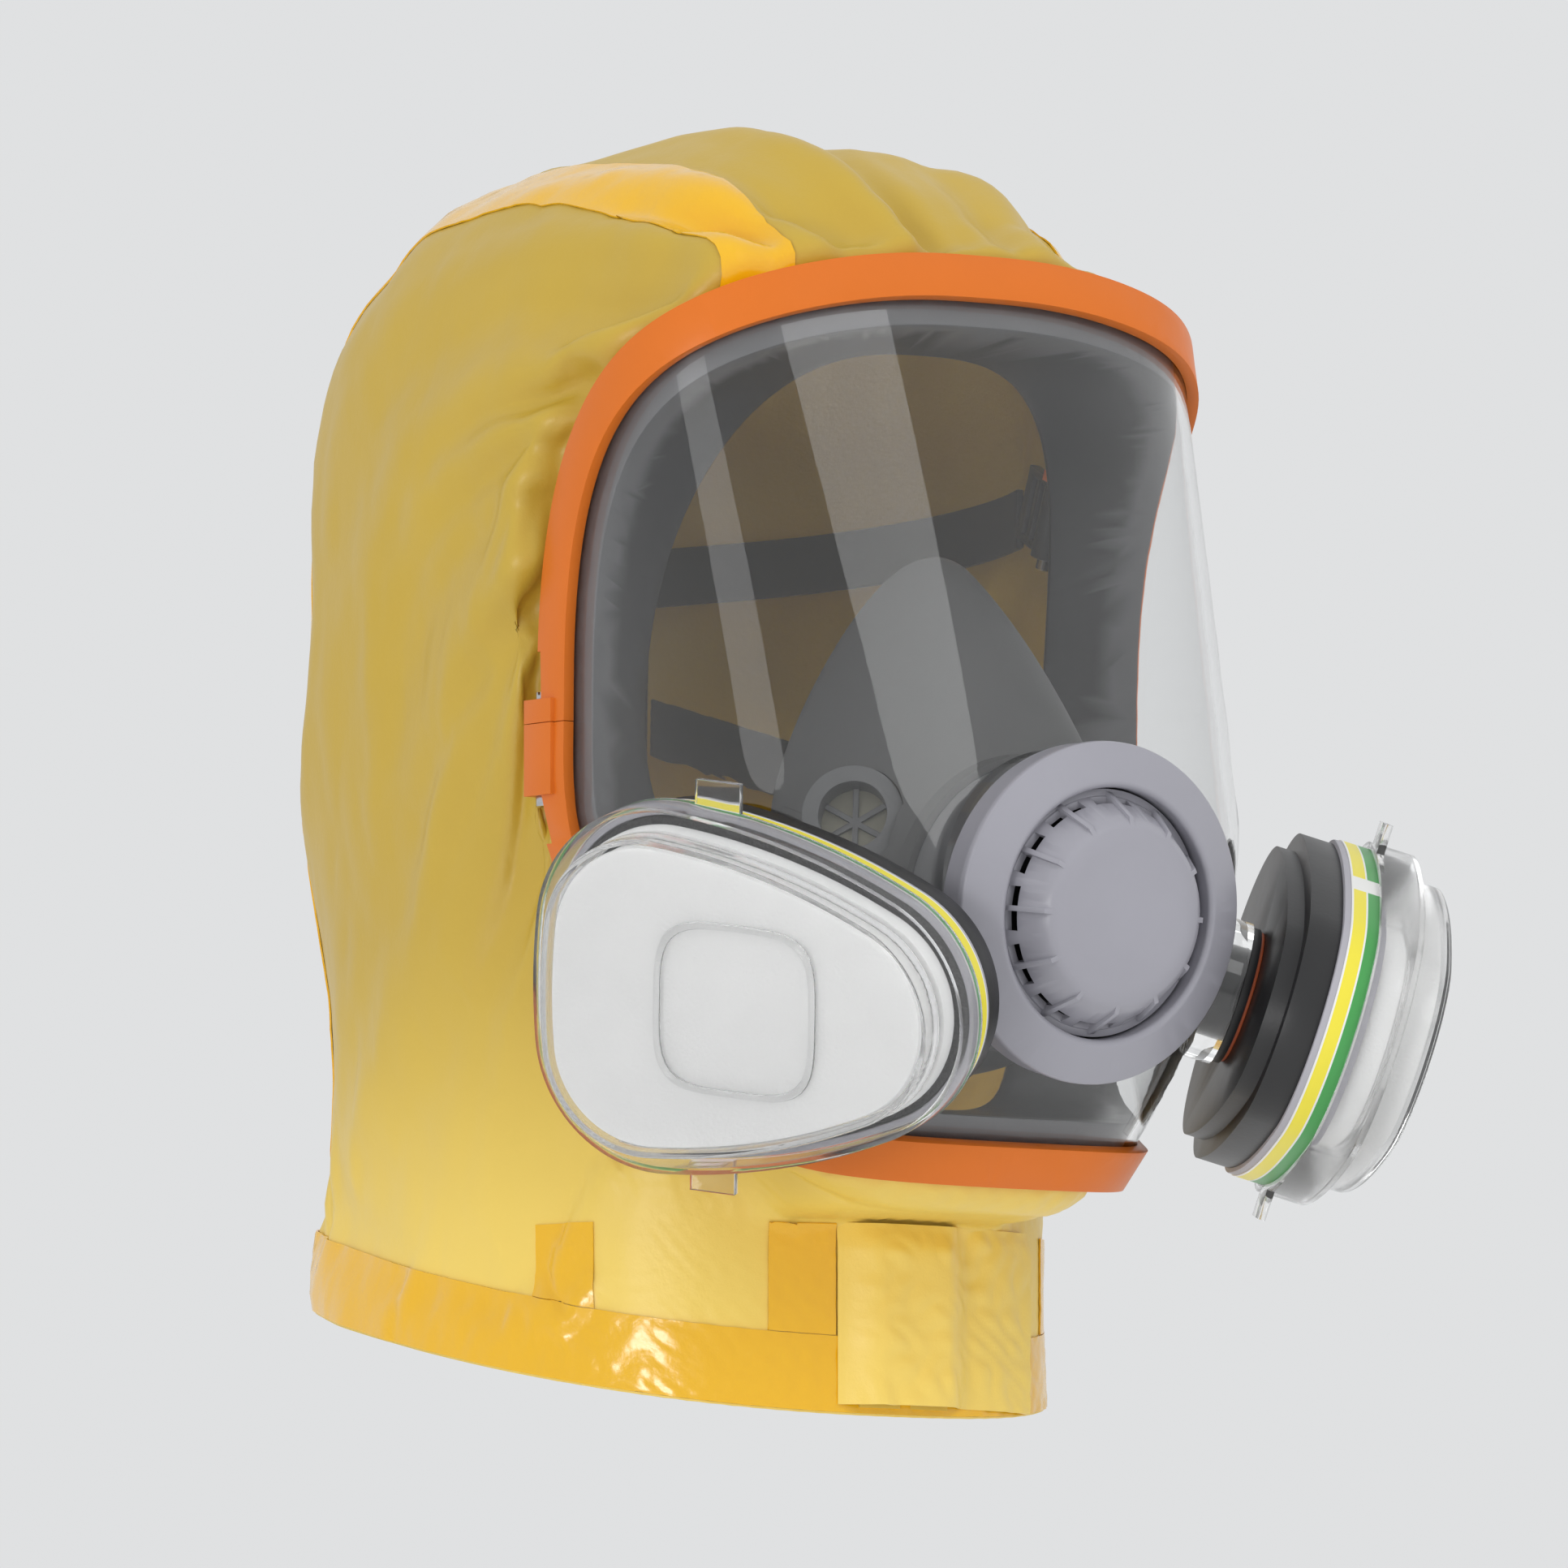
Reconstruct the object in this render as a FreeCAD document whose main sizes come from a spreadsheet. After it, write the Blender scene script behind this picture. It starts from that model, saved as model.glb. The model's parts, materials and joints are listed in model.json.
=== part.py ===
import FreeCAD, Part
import math
import os
import Sketcher

# Smoke hood: a coated-fabric hood with taped seams, worn over a full-face mask with two bayonet filters.
# Row frame: +Z up, the face looks along -Y, the wearer's left is +X. Millimetres.
# The origin is the centre of the neck opening, at the height of the hem's lowest (front) point.

Vector = FreeCAD.Vector

SIZES = {
    # hood, horizontal sections
    "neck_half_width": 84, "neck_half_depth": 92, "hem_rise": 38, "hem_tape_height": 19,
    "head_half_width": 95, "head_half_depth": 114, "head_back_shift": 18, "head_height": 205,
    "hood_height": 325, "throat_height": 60, "chin_drop": 7.5, "crown_shoulder": 10,
    "fabric_wall": 1.5, "tape_wall": 0.5, "tape_gap": 0.15, "tape_width": 18, "crown_seam": 58,
    "hem_in": 5, "hem_out": 6, "hem_casing_depth": 5.7, "hem_gap": 0.4, "casing_wall": 1,
    "collar_clearance": 0.2, "elastic_width": 4, "elastic_depth": 2.7,
    # throat closure
    "flap_width": 66, "flap_wall": 0.9, "flap_foot": 2.5, "flap_stand": 7.4, "flap_root": -18,
    "throat_clearance": 1.5, "throat_tape_right_at": 98, "left_tape_gap": 14, "zip_at": 2, "zip_foot": 2,
    "zip_tape_width": 12, "zip_tape_wall": 0.7, "zip_gap": 3, "zip_tooth": 1.4,
    "zip_pitch": 3, "slider_length": 11, "slider_width": 10, "slider_wall": 1.2, "slider_play": 0.35,
    "pull_length": 22, "pull_width": 7,
    # mask body: side plane, height range, half width and depth of its horizontal sections
    "mask_side": 66, "mask_top": 286, "mask_bottom": 57, "mask_middle": 171, "mask_half_width": 87,
    "chin_half_width": 50, "cheek_height": 150, "brow_depth": 60, "port_depth": 104, "chin_depth": 79,
    "lens_wall": 2.5, "lens_edge": 4, "fit_gap": 0.15,
    # clamp frame section: lips are measured inward from the outline
    "frame_overhang": 1.5, "frame_front_lip": 10, "frame_back_lip": 7, "frame_web": 4,
    "frame_front_wall": 3.2, "frame_back": 9, "frame_back_wall": 2.8, "lug_height": 24, "lug_depth": 11.4,
    "split_gap": 0.2,
    "screw_radius": 1.9, "screw_head": 3.6, "screw_play": 0.2, "screw_head_height": 2, "nut_height": 2.6,
    # face seal
    "seal_flange": 16, "seal_wall": 2.7, "lip_half_width": 61, "lip_chin_half_width": 40, "lip_top_drop": 21,
    "lip_bottom_rise": 19, "lip_side_depth": 5, "lip_brow_depth": 37, "lip_chin_depth": 46,
    # exhalation port stack, measured along its own axis from the back of the valve ring
    "port_height": 121, "collar_reach": 5, "port_tilt": 7.5, "collar_radius": 39, "collar_wall": 2.6,
    "housing_clearance": 1.9, "housing_wall": 3, "housing_length": 34, "ring_flange": 3.5, "ring_step": 0.3,
    "ring_lip_wall": 1.3, "ring_edge": 2.6, "ring_rise": 6, "ring_skirt": 7, "ring_skirt_wall": 2.4,
    "seat_wall": 2.4, "seat_play": 0.2, "seat_bore": 16.5, "seat_land": 2.5, "seat_hub": 4, "spoke_width": 2,
    "disc_overlap": 1.5, "disc_wall": 0.8,
    "cover_play": 0.5, "cover_foot": 2, "cover_foot_wall": 1.7, "cover_slope": 6.5, "cover_height": 14,
    "cover_wall": 1.8, "cover_ribs": 12, "cover_rib_width": 1.3, "cover_slot": 3.2,
    # filter mounts
    "filter_turn": 37.9, "filter_up": 107, "filter_sink": 1, "filter_yaw": 62, "filter_tilt": 17,
    "filter_roll": 9, "filter_stand": 9, "boss_wall": 6.5, "mount_radius": 12, "mount_wall": 2.4,
    "mount_flange": 5.5, "mount_flange_wall": 2.2, "mount_inside": 21, "lug_reach": 2.6, "bayonet_lug": 2.2,
    "bayonet_lug_width": 8, "bayonet_turn": 30, "mount_reach": 8.6, "nut_width": 5, "nut_wall": 3,
    "intake_overlap": 1.4, "intake_wall": 0.7,
    # filter cartridges: an egg outline of three corner circles joined by bulging arcs
    "egg_back": 25, "egg_back_side": 13, "egg_back_radius": 31, "egg_nose": 24, "egg_nose_radius": 31,
    "egg_bulge": 170, "foot_height": 4.5, "foot_inset": 6, "base_height": 13, "base_inset": 1.2,
    "can_height": 11.5, "can_wall": 1.6, "label_height": 8, "label_wall": 0.3, "bed_gap": 0.4,
    "pad_inset": 3.4, "retainer_wall": 1.5, "skirt_overlap": 2.6, "skirt_height": 11.5,
    "cap_inset": 3.8, "cap_height": 9.5, "cap_rim": 1.3, "pad_gap": 0.6, "socket_play": 0.35,
    "tab_reach": 8, "tab_width": 12, "tab_wall": 2, "tab_at": 11,
    # nose cup
    "cup_wall": 2.2, "cup_top": 214, "cup_bottom": 84, "cup_half_width": 45, "cup_back": 100, "cup_grip": 4,
    "cup_valve_across": 30, "cup_valve_forward": 118, "cup_valve_up": 143, "cup_valve_radius": 12.5,
    "cup_valve_yaw": 42, "cup_seat_rim": 4, "cup_seat_depth": 6, "cup_flap_overlap": 1.1,
    "cup_flap_wall": 0.6,
    # head harness
    "harness_side_gap": 18, "harness_back_gap": 28, "harness_forward": 4, "harness_wall": 2,
    "strap_width": 17, "strap_gap": 5, "pad_half_angle": 26, "pad_height_back": 62, "pad_middle": 205,
    "buckle_length": 20, "buckle_wall": 3, "buckle_pin": 2, "pin_depth": 6.2, "pin_out": 3.6,
}

doc = FreeCAD.newDocument("smoke_hood")
sheet = doc.addObject("Spreadsheet::Sheet", "Sizes")
for row, (alias, number) in enumerate(SIZES.items(), start=1):
    sheet.set(f"A{row}", alias)
    sheet.set(f"B{row}", str(number))
    sheet.setAlias(f"B{row}", alias)
doc.recompute()


class Dim:
    """A length with the sheet expression that gives it, so that sketches are drawn and bound in one go."""

    def __init__(self, value, text):
        self.value, self.text = value, text

    def __add__(self, other):
        other = as_dim(other)
        return Dim(self.value + other.value, f"({self.text} + {other.text})")

    def __sub__(self, other):
        other = as_dim(other)
        return Dim(self.value - other.value, f"({self.text} - {other.text})")

    def __mul__(self, factor):
        return Dim(self.value * factor, f"({self.text} * {factor})")

    def __neg__(self):
        return Dim(-self.value, f"(-{self.text})")


def as_dim(x):
    return x if isinstance(x, Dim) else Dim(float(x), str(float(x)))


def size(alias):
    """The number in a cell of the sheet."""
    return float(sheet.get(alias))


def dim(alias):
    """A cell of the sheet as a bound dimension."""
    return Dim(size(alias), f"Sizes.{alias}")


# ---------------------------------------------------------------- construction helpers

def origin_plane(body, role):
    return next(f for f in body.Origin.OriginFeatures if f.Role == role)


def sketch_polygon(body, name, plane, corners):
    """A closed polygon sketch whose corners are bound to the sheet."""
    sketch = body.newObject("Sketcher::SketchObject", name)
    sketch.AttachmentSupport = [(origin_plane(body, plane), "")]
    sketch.MapMode = "FlatFace"
    corners = [(as_dim(x), as_dim(y)) for x, y in corners]
    count = len(corners)
    for i, (x, y) in enumerate(corners):
        x_next, y_next = corners[(i + 1) % count]
        start, stop = Vector(x.value, y.value, 0), Vector(x_next.value, y_next.value, 0)
        sketch.addGeometry(Part.LineSegment(start, stop), False)
    for i, (x, y) in enumerate(corners):
        sketch.addConstraint(Sketcher.Constraint("Coincident", i, 2, (i + 1) % count, 1))
        for kind, d in (("DistanceX", x), ("DistanceY", y)):
            index = sketch.addConstraint(Sketcher.Constraint(kind, i, 1, d.value))
            if "Sizes." in d.text:
                sketch.setExpression(f"Constraints[{index}]", d.text)
    return sketch


def sketch_circles(body, name, plane, circles):
    """Circles (x, y, radius) bound to the sheet."""
    sketch = body.newObject("Sketcher::SketchObject", name)
    sketch.AttachmentSupport = [(origin_plane(body, plane), "")]
    sketch.MapMode = "FlatFace"
    for i, circle in enumerate(circles):
        x, y, radius = [as_dim(v) for v in circle]
        sketch.addGeometry(Part.Circle(Vector(x.value, y.value, 0), Vector(0, 0, 1), radius.value), False)
        for kind, d in (("DistanceX", x), ("DistanceY", y)):
            index = sketch.addConstraint(Sketcher.Constraint(kind, i, 3, d.value))
            if "Sizes." in d.text:
                sketch.setExpression(f"Constraints[{index}]", d.text)
        index = sketch.addConstraint(Sketcher.Constraint("Radius", i, radius.value))
        if "Sizes." in radius.text:
            sketch.setExpression(f"Constraints[{index}]", radius.text)
    return sketch


def new_body(label):
    body = doc.addObject("PartDesign::Body", label)
    body.Label = label
    return body


def turned(label, corners, angle=360):
    """A body turned about its own Z from a half section of (radius, height) corners."""
    body = new_body(label)
    revolution = body.newObject("PartDesign::Revolution", label + "_turn")
    revolution.Profile = sketch_polygon(body, label + "_section", "XZ_Plane", corners)
    revolution.ReferenceAxis = (revolution.Profile[0], ["V_Axis"])
    revolution.Angle = angle
    return body


def extruded(body, name, sketch, length, kind="PartDesign::Pad", midplane=False, reverse=False):
    """A pad or a pocket of a sketch over a bound length."""
    feature = body.newObject(kind, name)
    feature.Profile = sketch
    length = as_dim(length)
    feature.Length = length.value
    if "Sizes." in length.text:
        feature.setExpression("Length", length.text)
    feature.Midplane = midplane
    feature.Reversed = reverse
    return feature


def round_pattern(body, name, feature, count, count_cell=None):
    """Repeats a feature evenly about the body's Z axis."""
    pattern = body.newObject("PartDesign::PolarPattern", name)
    pattern.Originals = [feature]
    pattern.Axis = (next(f for f in body.Origin.OriginFeatures if f.Role == "Z_Axis"), [""])
    pattern.Angle = 360
    pattern.Occurrences = int(count)
    if count_cell:
        pattern.setExpression("Occurrences", f"Sizes.{count_cell}")
    body.Tip = pattern
    return pattern


def shaped(label, shape, placement=None):
    """A piece whose shape is worked out below from the sheet."""
    feature = doc.addObject("Part::Feature", label)
    feature.Label = label
    feature.Shape = shape
    if placement is not None:
        feature.Placement = placement
    return feature


def placed(body, placement):
    body.Placement = placement
    return body


def largest(shape):
    """The largest solid of a boolean result."""
    return max(shape.Solids, key=lambda s: s.Volume)


def box_between(low, high):
    low, high = Vector(*low), Vector(*high)
    return Part.makeBox(high.x - low.x, high.y - low.y, high.z - low.z, low)


def smooth_step(t):
    t = min(1.0, max(0.0, t))
    return t * t * (3 - 2 * t)


LOOP_POINTS = 44


def loop_wire(points, pace=None):
    """A smooth closed wire through points in order. Wires of one pace pair up point by point."""
    curve = Part.BSplineCurve()
    if pace:
        curve.interpolate(Points=points, PeriodicFlag=True, Parameters=pace)
    else:
        curve.interpolate(Points=points, PeriodicFlag=True)
    return Part.Wire(curve.toShape())


def sewn_solid(faces):
    shell = Part.makeShell(faces)
    shell.sewShape()
    solid = Part.makeSolid(Part.Shell(shell.Faces))
    if solid.Volume < 0:
        solid.reverse()
    solid.fix(1e-4, 1e-4, 1e-4)
    return solid


def ring_solid(loops):
    """A closed ring whose section has one corner on each of the given closed wires, in order."""
    faces = []
    for a, b in zip(loops, loops[1:] + loops[:1]):
        faces += Part.makeRuledSurface(a, b).Faces
    return sewn_solid(faces)


# ---------------------------------------------------------------- mask surface

SECTION_POWER = 3.0
OUTLINE_POWER = 2.8


def mask_half_width(z):
    """Half width of the mask's horizontal section: constant at the cheeks, narrowing to the chin."""
    wide, narrow = size("mask_half_width"), size("chin_half_width")
    t = max(0.0, (size("cheek_height") - z) / (size("cheek_height") - size("mask_bottom")))
    return wide - (wide - narrow) * t ** 1.3


def mask_depth(z):
    """How far the section's front stands ahead of the side plane, deepest just under the port."""
    deep_at = size("port_height") - 3
    if z >= deep_at:
        t = (z - deep_at) / (size("mask_top") - deep_at)
        return size("port_depth") - (size("port_depth") - size("brow_depth")) * t ** 1.15
    t = (deep_at - z) / (deep_at - size("mask_bottom"))
    return size("port_depth") - (size("port_depth") - size("chin_depth")) * t ** 1.6


def mask_point(turn, z):
    """The mask's outer surface at an angle from straight ahead, in radians, and a height."""
    a, b = mask_half_width(z), mask_depth(z)
    s, c = math.sin(turn), math.cos(turn)
    r = (abs(s / a) ** SECTION_POWER + abs(c / b) ** SECTION_POWER) ** (-1 / SECTION_POWER)
    return Vector(r * s, -size("mask_side") - r * c, z)


def mask_normal(turn, z):
    step = 1e-3
    across = mask_point(turn + step, z) - mask_point(turn - step, z)
    up = mask_point(turn, z + 0.2) - mask_point(turn, z - 0.2)
    return across.cross(up).normalize()


def outline_unit(phi):
    """A unit rounded square, phi from the wearer's left round over the top."""
    c, s = math.cos(phi), math.sin(phi)
    r = (abs(c) ** OUTLINE_POWER + abs(s) ** OUTLINE_POWER) ** (-1 / OUTLINE_POWER)
    return r * c, r * s


def outline_turn_height(phi):
    p, q = outline_unit(phi)
    reach = size("mask_top") - size("mask_middle") if q > 0 else size("mask_middle") - size("mask_bottom")
    return p * math.pi / 2, size("mask_middle") + q * reach


def outline_frame(phi):
    """The outline's point, its inward direction along the surface, and the surface normal."""
    turn, z = outline_turn_height(phi)
    here = mask_point(turn, z)
    ahead, behind = [mask_point(*outline_turn_height(phi + step)) for step in (0.01, -0.01)]
    along = (ahead - behind).normalize()
    normal = mask_normal(turn * 0.985, z)
    inward = normal.cross(along).normalize()
    return here, inward, normal


def phis(count=LOOP_POINTS):
    return [2 * math.pi * i / count for i in range(count)]


def outline_pace():
    """The share of the outline's length run at each of its points, the closing one included."""
    points = [outline_frame(phi)[0] for phi in phis()]
    run = [0.0]
    for a, b in zip(points, points[1:] + points[:1]):
        run.append(run[-1] + (b - a).Length)
    return [length / run[-1] for length in run]


OUTLINE_PACE = outline_pace()


def offset_loop(inward, outward):
    """The outline moved inward along the surface, and outward from it."""
    points = []
    for phi in phis():
        here, side, normal = outline_frame(phi)
        points.append(here + side * inward + normal * outward)
    return loop_wire(points, OUTLINE_PACE)


def section_ring(corners):
    return ring_solid([offset_loop(i, o) for i, o in corners])


# ---------------------------------------------------------------- local frames

def frame_placement(origin, z_axis, x_axis):
    z = Vector(z_axis).normalize()
    x = (Vector(x_axis) - z * z.dot(Vector(x_axis))).normalize()
    y = z.cross(x)
    return FreeCAD.Placement(origin, FreeCAD.Rotation(x, y, z, "ZXY"))


PORT_TILT = math.radians(size("port_tilt"))
PORT_AXIS = Vector(0, -math.cos(PORT_TILT), -math.sin(PORT_TILT))
PORT_ORIGIN = Vector(0, -size("mask_side") - size("port_depth") - size("collar_reach"), size("port_height"))
PORT = frame_placement(PORT_ORIGIN, PORT_AXIS, Vector(1, 0, 0))


def filter_axis(side):
    yaw, tilt = math.radians(size("filter_yaw")), math.radians(size("filter_tilt"))
    return Vector(side * math.sin(yaw) * math.cos(tilt), -math.cos(yaw) * math.cos(tilt), -math.sin(tilt))


def filter_frame(side):
    """Placement of a cartridge: local Z away from the mask, local X towards its narrow nose, which dips."""
    axis = filter_axis(side)
    yaw, roll = math.radians(size("filter_yaw")), math.radians(size("filter_roll"))
    level = Vector(-side * math.cos(yaw), -math.sin(yaw), 0)
    up = axis.cross(level)
    if up.z < 0:
        up = -up
    nose = level * math.cos(roll) - up * math.sin(roll)
    base = mask_point(side * math.radians(size("filter_turn")), size("filter_up"))
    return frame_placement(base + axis * (size("filter_stand") - size("filter_sink")), axis, nose)


SIDES = (("right", -1), ("left", 1))


# ---------------------------------------------------------------- mask pieces

def port_loop(radius, height):
    """A circle round the port's axis, at a height along it."""
    points = [PORT.multVec(Vector(radius * math.cos(p), radius * math.sin(p), height)) for p in phis()]
    return loop_wire(points, OUTLINE_PACE)


def port_foot(phi, radius, depth):
    """Where a tube about the port's axis meets the surface a set depth under the lens's outside."""
    inside, ahead = -60.0, 0.0
    for _step in range(40):
        height = (inside + ahead) / 2
        p = PORT.multVec(Vector(radius * math.cos(phi), radius * math.sin(phi), height))
        a, b = mask_half_width(p.z) - depth, mask_depth(p.z) - depth
        within = abs(p.x / a) ** SECTION_POWER + abs((p.y + size("mask_side")) / b) ** SECTION_POWER < 1
        inside, ahead = (height, ahead) if within else (inside, height)
    return p


def surface_place(point):
    """The turn and the height of a point by the mask's surface."""
    return math.atan2(point.x, -point.y - size("mask_side")), point.z


def lens_skin(place, depth):
    """The lens's surface at a turn and a height, a set depth under its outside."""
    return mask_point(*place) - mask_normal(*place) * depth


def lens_loops(radius, depth, shares):
    """Closed wires from the port's tube (share 0) out to the lens's edge (share 1)."""
    loops = []
    for share in shares:
        points = []
        for phi in phis():
            foot = port_foot(phi, radius, depth)
            near = surface_place(foot)
            here, inward, _normal = outline_frame(phi)
            far = surface_place(here + inward * size("lens_edge"))
            place = [n + (f - n) * share for n, f in zip(near, far)]
            points.append(lens_skin(place, depth) + (foot - lens_skin(near, depth)) * (1 - share) ** 3)
        loops.append(loop_wire(points, OUTLINE_PACE))
    return loops


def make_lens():
    shares = [0, 0.12, 0.3, 0.5, 0.7, 0.88, 1]
    outer_radius, wall = size("collar_radius"), size("collar_wall")
    outer = lens_loops(outer_radius, 0, shares)
    inner = lens_loops(outer_radius - wall, size("lens_wall"), shares)
    front_outer, front_inner = port_loop(outer_radius, 0), port_loop(outer_radius - wall, 0)
    faces = Part.makeLoft(outer, False, False).Faces + Part.makeLoft(inner, False, False).Faces
    edges = [(outer[-1], inner[-1]), (outer[0], front_outer),
             (front_outer, front_inner), (front_inner, inner[0])]
    for a, b in edges:
        faces += Part.makeRuledSurface(a, b).Faces
    shell = sewn_solid(faces)
    for _name, side in SIDES:
        seat = filter_frame(side)
        back = -size("mount_inside")
        boss_radius = size("mount_radius") + size("boss_wall")
        boss_length = -back - size("mount_flange_wall") - 1
        boss = Part.makeCylinder(boss_radius, boss_length, Vector(0, 0, back))
        boss.Placement = seat
        shell = shell.fuse(boss)
    for _name, side in SIDES:
        hole = Part.makeCylinder(size("mount_radius") + size("fit_gap"), 80, Vector(0, 0, -40))
        hole.Placement = filter_frame(side)
        shell = shell.cut(hole)
    return largest(shell)


shaped("lens", make_lens())


def make_frame_ring():
    front, back = size("frame_front_wall"), -size("frame_back")
    web, gap = size("frame_web") - size("frame_overhang"), size("fit_gap")
    rear_lip = back + size("frame_back_wall")
    return section_ring([
        (-size("frame_overhang"), front), (size("frame_front_lip"), front), (size("frame_front_lip"), gap),
        (web, gap), (web, rear_lip), (size("frame_back_lip"), rear_lip), (size("frame_back_lip"), back),
        (-size("frame_overhang"), back)])


def lug_block(side, low, high):
    """The clamp lug on the frame's side, over a range of heights: a root behind the groove and a cheek."""
    x, y = side * size("mask_half_width"), -size("mask_side")
    back = size("lug_depth") - 6 - size("mask_side")
    inner, skin, outer = x - side * 5, x + side * 0.3, x + side * (size("frame_front_wall") + 1.2)
    root = box_between((min(inner, outer), y + size("frame_overhang") - size("frame_web") + 0.1, low),
                       (max(inner, outer), back, high))
    cheek = box_between((min(skin, outer), y - 6, low), (max(skin, outer), back, high))
    return root.fuse(cheek)


def screw_rod(side, radius, low, high):
    """A rod on the axis of the clamp screw, over a range of heights."""
    x = side * (size("mask_half_width") - 0.5)
    y = -size("mask_side") + size("lug_depth") - 10.5
    return Part.makeCylinder(radius, high - low, Vector(x, y, low))


def lug_heights():
    """The lower lug's underside, the split and the upper lug's top."""
    split = size("mask_middle")
    return split - size("lug_height") * 0.75, split, split + size("lug_height") * 0.25


def make_frame():
    ring = make_frame_ring()
    bottom, split, top = lug_heights()
    gap, play = size("split_gap") / 2, size("screw_play")
    upper = ring.common(box_between((-200, -300, split + gap), (200, 100, 500)))
    lower = ring.common(box_between((-200, -300, -50), (200, 100, split - gap)))
    for _name, side in SIDES:
        upper = upper.fuse(lug_block(side, split + gap, top))
        lower = lower.fuse(lug_block(side, bottom, split - gap))
        hole = screw_rod(side, size("screw_radius") + play, split - 60, split + 60)
        upper, lower = upper.cut(hole), lower.cut(hole)
        upper = upper.cut(screw_rod(side, size("screw_head") + play, top, top + 12))
        lower = lower.cut(screw_rod(side, size("screw_head") + play, bottom - 12, bottom))
    return largest(upper), largest(lower)


frame_upper, frame_lower = make_frame()
shaped("frame_upper", frame_upper)
shaped("frame_lower", frame_lower)


def make_screws():
    bottom, _split, top = lug_heights()
    foot, head_top = bottom - size("nut_height"), top + size("screw_head_height")
    screws, nuts = [], []
    for _name, side in SIDES:
        head = screw_rod(side, size("screw_head"), top, head_top)
        centre = head.CenterOfMass
        slot = Part.makeBox(10, 1, 1.8, Vector(centre.x - 5, centre.y - 0.5, head_top - 0.8))
        screws.append(screw_rod(side, size("screw_radius"), foot, top).fuse(head).cut(slot))
        blank = screw_rod(side, size("screw_head"), foot, bottom)
        nuts.append(blank.cut(screw_rod(side, size("screw_radius") + 0.02, foot - 1, bottom + 1)))
    return Part.makeCompound(screws), Part.makeCompound(nuts)


screws, nuts = make_screws()
shaped("frame_screws", screws)
shaped("frame_nuts", nuts)


def lip_point(phi, grow=0.0, back=0.0):
    """The face seal's inner edge: a narrower outline that lies against the face."""
    p, q = outline_unit(phi)
    top = size("mask_top") - size("lip_top_drop") - size("mask_middle")
    bottom = size("mask_middle") - size("mask_bottom") - size("lip_bottom_rise")
    narrow = smooth_step(-q) * (size("lip_half_width") - size("lip_chin_half_width"))
    x = p * (size("lip_half_width") - narrow + grow)
    z = size("mask_middle") + q * ((top if q > 0 else bottom) + grow)
    far = size("lip_brow_depth") if q > 0 else size("lip_chin_depth")
    depth = size("lip_side_depth") + (far - size("lip_side_depth")) * abs(q) ** 2
    return Vector(x, -size("mask_side") - depth + back, z)


def lip_loop(grow, back):
    return loop_wire([lip_point(phi, grow, back) for phi in phis()], OUTLINE_PACE)


def skin_loop(inset, depth):
    """The outline moved inward along the lens itself, a set depth under its outside."""
    points = []
    for phi in phis():
        here, inward, _normal = outline_frame(phi)
        points.append(lens_skin(surface_place(here + inward * inset), depth))
    return loop_wire(points, OUTLINE_PACE)


def make_face_seal():
    near = size("lens_wall") + size("fit_gap")
    far = near + size("seal_wall")
    start, end, wall = size("lens_edge"), size("seal_flange"), size("seal_wall")
    loops = [skin_loop(start, near), skin_loop(end, near), lip_loop(0, 0), lip_loop(1.2, 2.2),
             skin_loop(end - wall, far), skin_loop(start, far)]
    return ring_solid(loops)


shaped("face_seal", make_face_seal())

# Exhalation port, all about its own axis: housing tube, O-ring, valve seat, flap, ring and louvred cover.
collar_bore = dim("collar_radius") - dim("collar_wall")
housing_outer = collar_bore - dim("housing_clearance")
housing_inner = housing_outer - dim("housing_wall")
placed(turned("port_housing", [
    (housing_inner, -dim("housing_length")), (housing_outer, -dim("housing_length")), (housing_outer, -9),
    (collar_bore - dim("fit_gap"), -9), (collar_bore - dim("fit_gap"), -7.6), (housing_outer - 0.4, -7.6),
    (housing_outer - 0.4, -5.2), (collar_bore - dim("fit_gap"), -5.2), (collar_bore - dim("fit_gap"), -0.2),
    (housing_inner, -0.2)]), PORT)
placed(turned("port_o_ring", [
    (housing_outer - 0.3, -7.4), (collar_bore - 0.05, -7.4),
    (collar_bore - 0.05, -5.4), (housing_outer - 0.3, -5.4)]), PORT)

skirt_inner = dim("collar_radius") + dim("fit_gap")
ring_radius, ring_bore = dim("collar_radius") + dim("ring_flange"), housing_inner - dim("ring_step")
ring_lip = ring_bore + dim("ring_lip_wall")
placed(turned("valve_ring", [
    (ring_bore, 0.1), (skirt_inner, 0.1), (skirt_inner, -dim("ring_skirt")),
    (skirt_inner + dim("ring_skirt_wall"), -dim("ring_skirt")), (skirt_inner + dim("ring_skirt_wall"), 0.1),
    (ring_radius, 0.1), (ring_radius, dim("ring_edge")), (ring_lip + 1.2, dim("ring_rise")),
    (ring_lip, dim("ring_rise") + 0.5), (ring_bore, dim("ring_rise") - 0.3)]), PORT)

seat_back, seat_front = -dim("seat_wall") - 5, Dim(-5, "(-5)")
seat_radius, seat_land = housing_inner - dim("seat_play"), dim("seat_bore") + dim("seat_land")
seat = turned("exhalation_valve_seat", [
    (0, seat_back), (seat_radius, seat_back), (seat_radius, seat_front), (seat_land + 1, seat_front),
    (seat_land, seat_front + 1), (dim("seat_bore"), seat_front + 1), (dim("seat_bore"), seat_front),
    (0, seat_front)])
hub_edge, slant, half_spoke = dim("seat_hub") + 1, math.tan(math.pi / 6), dim("spoke_width") * 0.5774
window = sketch_polygon(seat, "seat_window_plan", "XY_Plane", [
    (hub_edge, half_spoke - hub_edge * slant),
    (dim("seat_bore") - 2, half_spoke - (dim("seat_bore") - 2) * slant),
    (dim("seat_bore"), 0), (dim("seat_bore") - 2, (dim("seat_bore") - 2) * slant - half_spoke),
    (hub_edge, hub_edge * slant - half_spoke)])
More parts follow.
